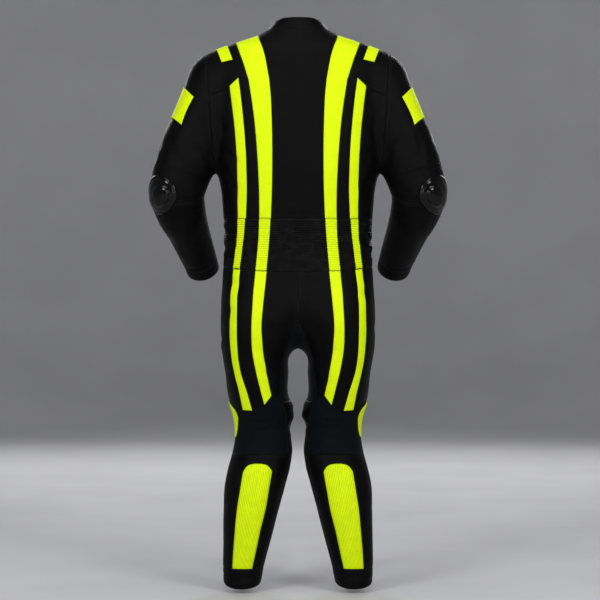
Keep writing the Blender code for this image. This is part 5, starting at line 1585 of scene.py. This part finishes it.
def sewCalf():
    rows = divide(side("calfPanelinner bridgeInner"), side("calfInner"))
    archRow = len(seams["calfPanelinner"]) - 1
    bridge = rows[rows >= archRow] - archRow
    inner = cutGrid("hemInner", "calfTopInner", "calfInner", "calfPanelinner bridgeInner", 120, rows=rows)
    outer = cutGrid("hemOuter", "calfTopOuter", "calfPanelouter bridgeOuter", "calfOuter", 30, rows=rows)
    over = cutGrid("calfArch", "calfTopMiddle", "bridgeInner", "bridgeOuter", 90, rows=bridge)
    sew("calf_back", [inner, over, outer], "black")
    panel = cutGrid("hemMiddle", "calfArch", "calfPanelinner", "calfPanelouter", 90, across=weave["ribSpacing"])
    sew("calf_accordion", [panel], "yellow", relief=calfRelief, valley=calfValley, doubleRow=False)


bandRows = {"hem": 9, "collar": 12, "zip": 5}


def sewHem():
    around = side("hemInner hemMiddle hemOuter hemFront")
    chart = toChart(sideAt(around, divide(around, around)), 90)
    later = np.arange(len(chart)) > len(chart) // 2
    chart[later & (chart[:, 0] > 90), 0] -= 360
    low = hemBottom - hemDip * np.sin(np.radians(chart[:, 0]))
    shares = np.linspace(0, 1, bandRows["hem"])[:, None]
    heights = low[None] * (1 - shares) + chart[None, :, 1] * shares
    grid = fromChart(np.stack([np.broadcast_to(chart[:, 0], heights.shape), heights], axis=-1))
    grid[:, -1] = grid[:, 0]
    sew("hem_band", [grid], "black", doubleRow=False)


def sewCollar():
    neck = side("neckBack neckFront")
    line = sideAt(neck, divide(neck, neck))
    angles = toChart(line, 0)[:, 0]
    rows = []
    for share in np.linspace(0, 1, bandRows["collar"]):
        heights = line[:, 2] * (1 - share) + collar("top", angles) * share
        row = fromChart(np.stack([angles, heights], axis=-1))
        row[0] = behind(0.0, heights[0])
        row[-1] = behind(zipHalf, heights[-1], front=True)
        rows.append(row)
    sew("collar", [np.stack(rows)], "black", relief=collarRelief, doubleRow=False, across=True)
    return rows


def sewZip(collarEdge):
    chest = side("zipHips zipChest")
    edge = joined(sideAt(chest, divide(chest, chest)), collarEdge)
    shares = np.linspace(0, 1, bandRows["zip"])[None, :, None]
    middle = behind(np.zeros(len(edge)), edge[:, 2], front=True)
    grid = settle(middle[:, None] * (1 - shares) + edge[:, None] * shares)
    grid[:, 0, 0] = 0.0
    grid[:, 0], grid[:, -1] = middle, edge
    sew("front_zip", [grid], "tape", relief=flatRelief, doubleRow=False, across=True)
    return middle


finePerColumn = 5


def tubeGrid(positions, first=None):
    # coarse rings first, so that the rings at the armpit don't cross, then fine ones between them
    coarse = sleeveGrid(positions, np.linspace(0, 360, sleeveColumns + 1))
    coarse[:, -1] = coarse[:, 0]
    columns = np.linspace(0, sleeveColumns, sleeveColumns * finePerColumn + 1)
    rings = np.stack([lineAt(ring, columns) for ring in coarse])
    lengths = np.linalg.norm(np.diff(rings[:, 0], axis=0), axis=1)
    counts = [round(length / weave["spacing"]) for length in lengths]
    rows = np.concatenate([i + np.arange(count) / count for i, count in enumerate(counts)] + [[len(counts)]])
    grid = settle(between(rings, rows))
    if first is not None:
        grid[0] = sideAt(side(first), columns)
    grid[:, -1] = grid[:, 0]
    return grid


def sewSleeves():
    elbow, cuff = sleevePosition(elbowAt), sleevePosition(cuffAt)
    upper = np.concatenate([np.linspace(0, 1, 5), np.linspace(1, elbow, 4)[1:]])
    sew("upper_sleeve", [tubeGrid(upper, "-holeTop -holeBack holeFront")], "black")
    sew("forearm", [tubeGrid(np.linspace(elbow, cuff, 6))], "black")
    sew("cuff", [tubeGrid(np.linspace(cuff, 2, 2))], "black", doubleRow=False)


patchSet = {"above": 0.9 * mm, "wall": 1.2 * mm, "shoulder": (9, 13), "arm": (20, 34), "knee": (20, 14)}


def sewPatches():
    onTop = {
        "lift": leatherWall + patchSet["above"],
        "wall": patchSet["wall"],
        "relief": flatRelief,
        "doubleRow": False,
    }
    corners = np.array(shoulderPatch)
    columns, rows = patchSet["shoulder"]
    u, v = np.linspace(0, 1, columns)[None, :, None], np.linspace(0, 1, rows)[:, None, None]
    low, high = corners[0] * (1 - u) + corners[1] * u, corners[3] * (1 - u) + corners[2] * u
    flat = low * (1 - v) + high * v
    sew("shoulder_patch", [behind(flat[..., 0], flat[..., 1])], "yellow", **onTop)
    upper, lower = np.array(armPatch)
    rows, columns = patchSet["arm"]
    share, aside = np.linspace(0, 1, rows)[:, None], np.linspace(-1, 1, columns)
    middle, end, turn = ((upper + (lower - upper) * share)[:, k : k + 1] for k in range(3))
    positions = middle + (end - middle) * aside**2
    grid = sleeveGrid(positions.ravel(), (turn * aside).reshape(-1, 1)).reshape(*positions.shape, 3)
    sew("arm_patch", [grid], "yellow", **onTop)
    heights, rear, front = np.array(kneePatch, dtype=float).T
    rows, columns = patchSet["knee"]
    order = np.linspace(heights[0], heights[-1], rows)
    rear = np.interp(-order, *smoothTable(-heights, rear))
    front = np.interp(-order, *smoothTable(-heights, front))
    angles = front[:, None] + (rear - front)[:, None] * np.linspace(0, 1, columns)
    chart = np.stack([angles, np.broadcast_to(order[:, None], angles.shape)], axis=-1)
    sew("knee_patch", [fromChart(chart)], "yellow", **onTop)


sewPlainPanels()
print("plain panels sewn")
sewLumbar()
sewCalf()
sewHem()
collarRowsFine = sewCollar()
zipMiddle = sewZip(np.stack([row[-1] for row in collarRowsFine]))
sewSleeves()
sewPatches()

# elbow guards
guard = {
    "tail": 1.10,
    "taper": 0.45,
    "halfHeight": 0.0275,
    "halfWidth": 45.0,
    "step": 0.055,
    "sides": 72,
    "rings": 44,
    "ringPower": 0.9,
    "domeAside": 0.30,
    "wall": 3.0 * mm,
    "clear": 1.0 * mm,
}
guardProfile = (  # share of the way from the middle to the rim, and height in mm
    (0.0, 12.5),
    (0.13, 12.3),
    (0.26, 11.6),
    (0.38, 10.6),
    (0.46, 9.2),
    (0.505, 6.3),
    (0.56, 5.8),
    (0.78, 5.3),
    (0.84, 4.6),
    (0.88, 5.0),
    (0.94, 4.5),
    (0.985, 3.4),
    (1.0, 2.4),
)


def makeGuards():
    reach, rise = np.array(guardProfile).T
    radii = np.linspace(0, 1, guard["rings"] + 1)[1:, None] ** guard["ringPower"]
    turn = np.linspace(0, 2 * math.pi, guard["sides"], endpoint=False)
    long = np.where(np.cos(turn) < 0, 1.0, guard["tail"])
    drop = guard["halfHeight"] * radii * np.cos(turn) * long
    width = guard["halfWidth"] * radii * np.sin(turn) * (1 - guard["taper"] * np.maximum(0, np.cos(turn)) ** 2)
    positions = sleevePosition(guardCentre[0] + drop / guard["step"])
    ringPoints = sleeveGrid(positions.ravel(), (guardCentre[1] + width).reshape(-1, 1))[:, 0]
    points = np.concatenate([guardMiddle[None], ringPoints])
    flat = radii[:, None] * np.stack([np.cos(turn), np.sin(turn)], axis=-1)[None]
    flat = np.concatenate([np.zeros((1, 2)), flat.reshape(-1, 2)])
    away = np.minimum(np.linalg.norm(flat, axis=-1, keepdims=True), 1)
    fromDome = np.linalg.norm(flat - np.array([0.0, guard["domeAside"]]) * (1 - away**2), axis=-1)
    heights = np.interp(fromDome, *smoothTable(reach, rise))[:, None] * mm
    normals = outwardAt(points)
    count, sides = len(points), guard["sides"]
    faces = [(0, 1 + k, 1 + (k + 1) % sides) for k in range(sides)]
    for a in range(1, count - sides, sides):
        for k in range(sides):
            after = (k + 1) % sides
            faces.append((a + k, a + sides + k, a + sides + after, a + after))
    faces = turnedOut(points, normals, faces)
    outer = points + normals * heights
    inner = points + normals * np.maximum(guard["clear"], heights - guard["wall"])
    solid = faces + [tuple(v + count for v in reversed(face)) for face in faces]
    solid += [(b, a, a + count, b + count) for a, b in rims(faces)]
    both = np.concatenate([outer, inner])
    for name, sign in (("left", 1.0), ("right", -1.0)):
        placed = both * np.array([sign, 1.0, 1.0])
        turned = solid if sign > 0 else [tuple(reversed(face)) for face in solid]
        thing = makeMesh(f"elbow_guard_{name}_shell", placed, turned, [finishes["shell"]])
        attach(thing, "suit")
        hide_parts("elbow_guard_" + name)


makeGuards()
print("elbow guards made")

# zip teeth, slider and pull tab
teeth = {
    "pitch": 2.6 * mm,
    "size": (3.4 * mm, 1.3 * mm, 1.5 * mm),
    "offset": 1.2 * mm,
    "rise": 0.7 * mm,
    "ends": (6 * mm, 5 * mm),
}
toothOutline = ((-0.5, -0.35), (-0.2, -0.5), (0.5, -0.5), (0.5, 0.5), (-0.2, 0.5), (-0.5, 0.35))


def makeTeeth():
    along = alongLine(zipMiddle)
    at = np.arange(teeth["ends"][0], along[-1] - teeth["ends"][1], teeth["pitch"])
    width, tall, deep = teeth["size"]
    shape = [(x, y, z) for z in (-0.5, 0.5) for x, y in toothOutline]
    sides = [(k, (k + 1) % 6, (k + 1) % 6 + 6, k + 6) for k in range(6)]
    block = [(5, 4, 3, 2, 1, 0), (6, 7, 8, 9, 10, 11), *sides]
    points, faces = [], []
    for sign in (1, -1):
        here = at + (teeth["pitch"] / 2 if sign < 0 else 0)
        where = readLine(zipMiddle, along, here)
        normals = outwardAt(where)
        base = baseHeight(where, normals)
        up = readLine(zipMiddle, along, here + mm) - where
        up /= np.linalg.norm(up, axis=-1, keepdims=True)
        for p, n, u, h in zip(where, normals, up, base):
            start = len(points)
            centre = p + n * (h + teeth["rise"]) + np.array([sign * teeth["offset"], 0, 0])
            for x, y, z in shape:
                points.append(centre + np.array([sign * x * width, 0, 0]) + u * y * tall + n * z * deep)
            faces += [tuple(v + start for v in (face if sign > 0 else face[::-1])) for face in block]
    thing = makeMesh("zip_teeth", points, faces, [finishes["metal"]])
    thing.data.polygons.foreach_set("use_smooth", [False] * len(faces))
    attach(thing, "suit")
    return thing


zipTeeth = makeTeeth()
for node in ("zip_slider", "zip_pull_tab"):
    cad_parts[node].data.materials.clear()
    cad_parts[node].data.materials.append(finishes["metal"])
print("zip finished")

# floor, light and camera
stage = {
    "radius": 7.4,
    "bend": 2.2,
    "height": 7.5,
    "below": 7 * mm,
    "drop": 3 * mm,
    "sides": 96,
    "rows": (12, 12, 8),
    "colour": (0.50, 0.50, 0.51, 1),
    "faded": (0.53, 0.53, 0.54, 1),
    "mottleSize": 420.0,
    "roughness": 0.9,
    "specular": 0.1,
}
aimPoint = (0, 0, -0.6)
room = {"colour": (0.9, 0.93, 1.0, 1), "strength": 0.10}
camera = {"away": 4.9, "lens": 119.5, "across": -0.005, "height": -0.615, "sensor": 36}
lights = (  # name, place, power, size
    ("keyLeft", (2.6, 3.8, 1.3), 95, 1.6),
    ("keyRight", (-2.6, 3.8, 1.3), 95, 1.6),
    ("spark", (0.0, 4.6, 1.9), 30, 0.2),
    ("calfFill", (0.0, 4.4, -0.8), 26, 1.6),
    ("top", (0.0, 0.8, 3.2), 45, 2.4),
    ("frontLeft", (1.5, -4.3, 1.2), 62, 1.8),
    ("frontRight", (-1.5, -4.3, 1.2), 62, 1.8),
)


def makeStage():
    floor = hemBottom - hemDip - stage["below"] - stage["drop"]
    radius, bend, sides = stage["radius"], stage["bend"], stage["sides"]
    flatRows, bendRows, wallRows = stage["rows"]
    profile = [(r, 0.0) for r in np.linspace(0.0, radius - bend, flatRows)]
    for t in np.linspace(0.1, math.pi / 2, bendRows):
        profile.append((radius - bend + bend * math.sin(t), bend - bend * math.cos(t)))
    profile += [(radius, bend + (stage["height"] - bend) * t) for t in np.linspace(0.1, 1, wallRows)]
    points, faces = [], []
    for r, z in profile:
        for k in range(sides):
            turn = 2 * math.pi * k / sides
            points.append((r * math.cos(turn), r * math.sin(turn), floor + z))
    for row in range(len(profile) - 1):
        for k in range(sides):
            a, b = row * sides + k, row * sides + (k + 1) % sides
            faces.append((a, b, b + sides, a + sides))
    material, wire, shader, place = newFinish("paleFloorPaint")
    mottle = placeGroup(wire, "mottle", Vector=place, Size=stage["mottleSize"])
    wire.put(wire.mix(mottle["Mask"], stage["colour"], stage["faded"]), shader.inputs["Base Color"])
    shader.inputs["Roughness"].default_value = stage["roughness"]
    shader.inputs["Specular IOR Level"].default_value = stage["specular"]
    thing = makeMesh("stage_floor", np.array(points), faces, [material])
    thing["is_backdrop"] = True


def makeLights():
    for name, place, power, size in lights:
        data = bpy.data.lights.new(name, "AREA")
        data.shape = "DISK"
        data.energy = power
        data.size = size
        lamp = bpy.data.objects.new(name, data)
        lamp.location = place
        aim = Vector(aimPoint) - Vector(place)
        lamp.rotation_euler = aim.to_track_quat("-Z", "Y").to_euler()
        bpy.context.scene.collection.objects.link(lamp)
    world = bpy.data.worlds.new("softRoom")
    world.use_nodes = True
    background = world.node_tree.nodes["Background"].inputs
    background["Color"].default_value = room["colour"]
    background["Strength"].default_value = room["strength"]
    bpy.context.scene.world = world


def makeCamera():
    data = bpy.data.cameras.new("backView")
    data.lens = camera["lens"]
    data.sensor_width = camera["sensor"]
    lens = bpy.data.objects.new("backView", data)
    lens.location = (camera["across"], camera["away"], camera["height"])
    lens.rotation_euler = (math.pi / 2, 0, math.pi)
    bpy.context.scene.collection.objects.link(lens)
    bpy.context.scene.camera = lens


makeStage()
makeLights()
makeCamera()
bpy.context.scene.view_settings.view_transform = "Standard"

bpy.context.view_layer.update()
total = sum(len(p.vertices) - 2 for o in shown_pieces() if o.type == "MESH" for p in o.data.polygons)
print("triangles:", total)
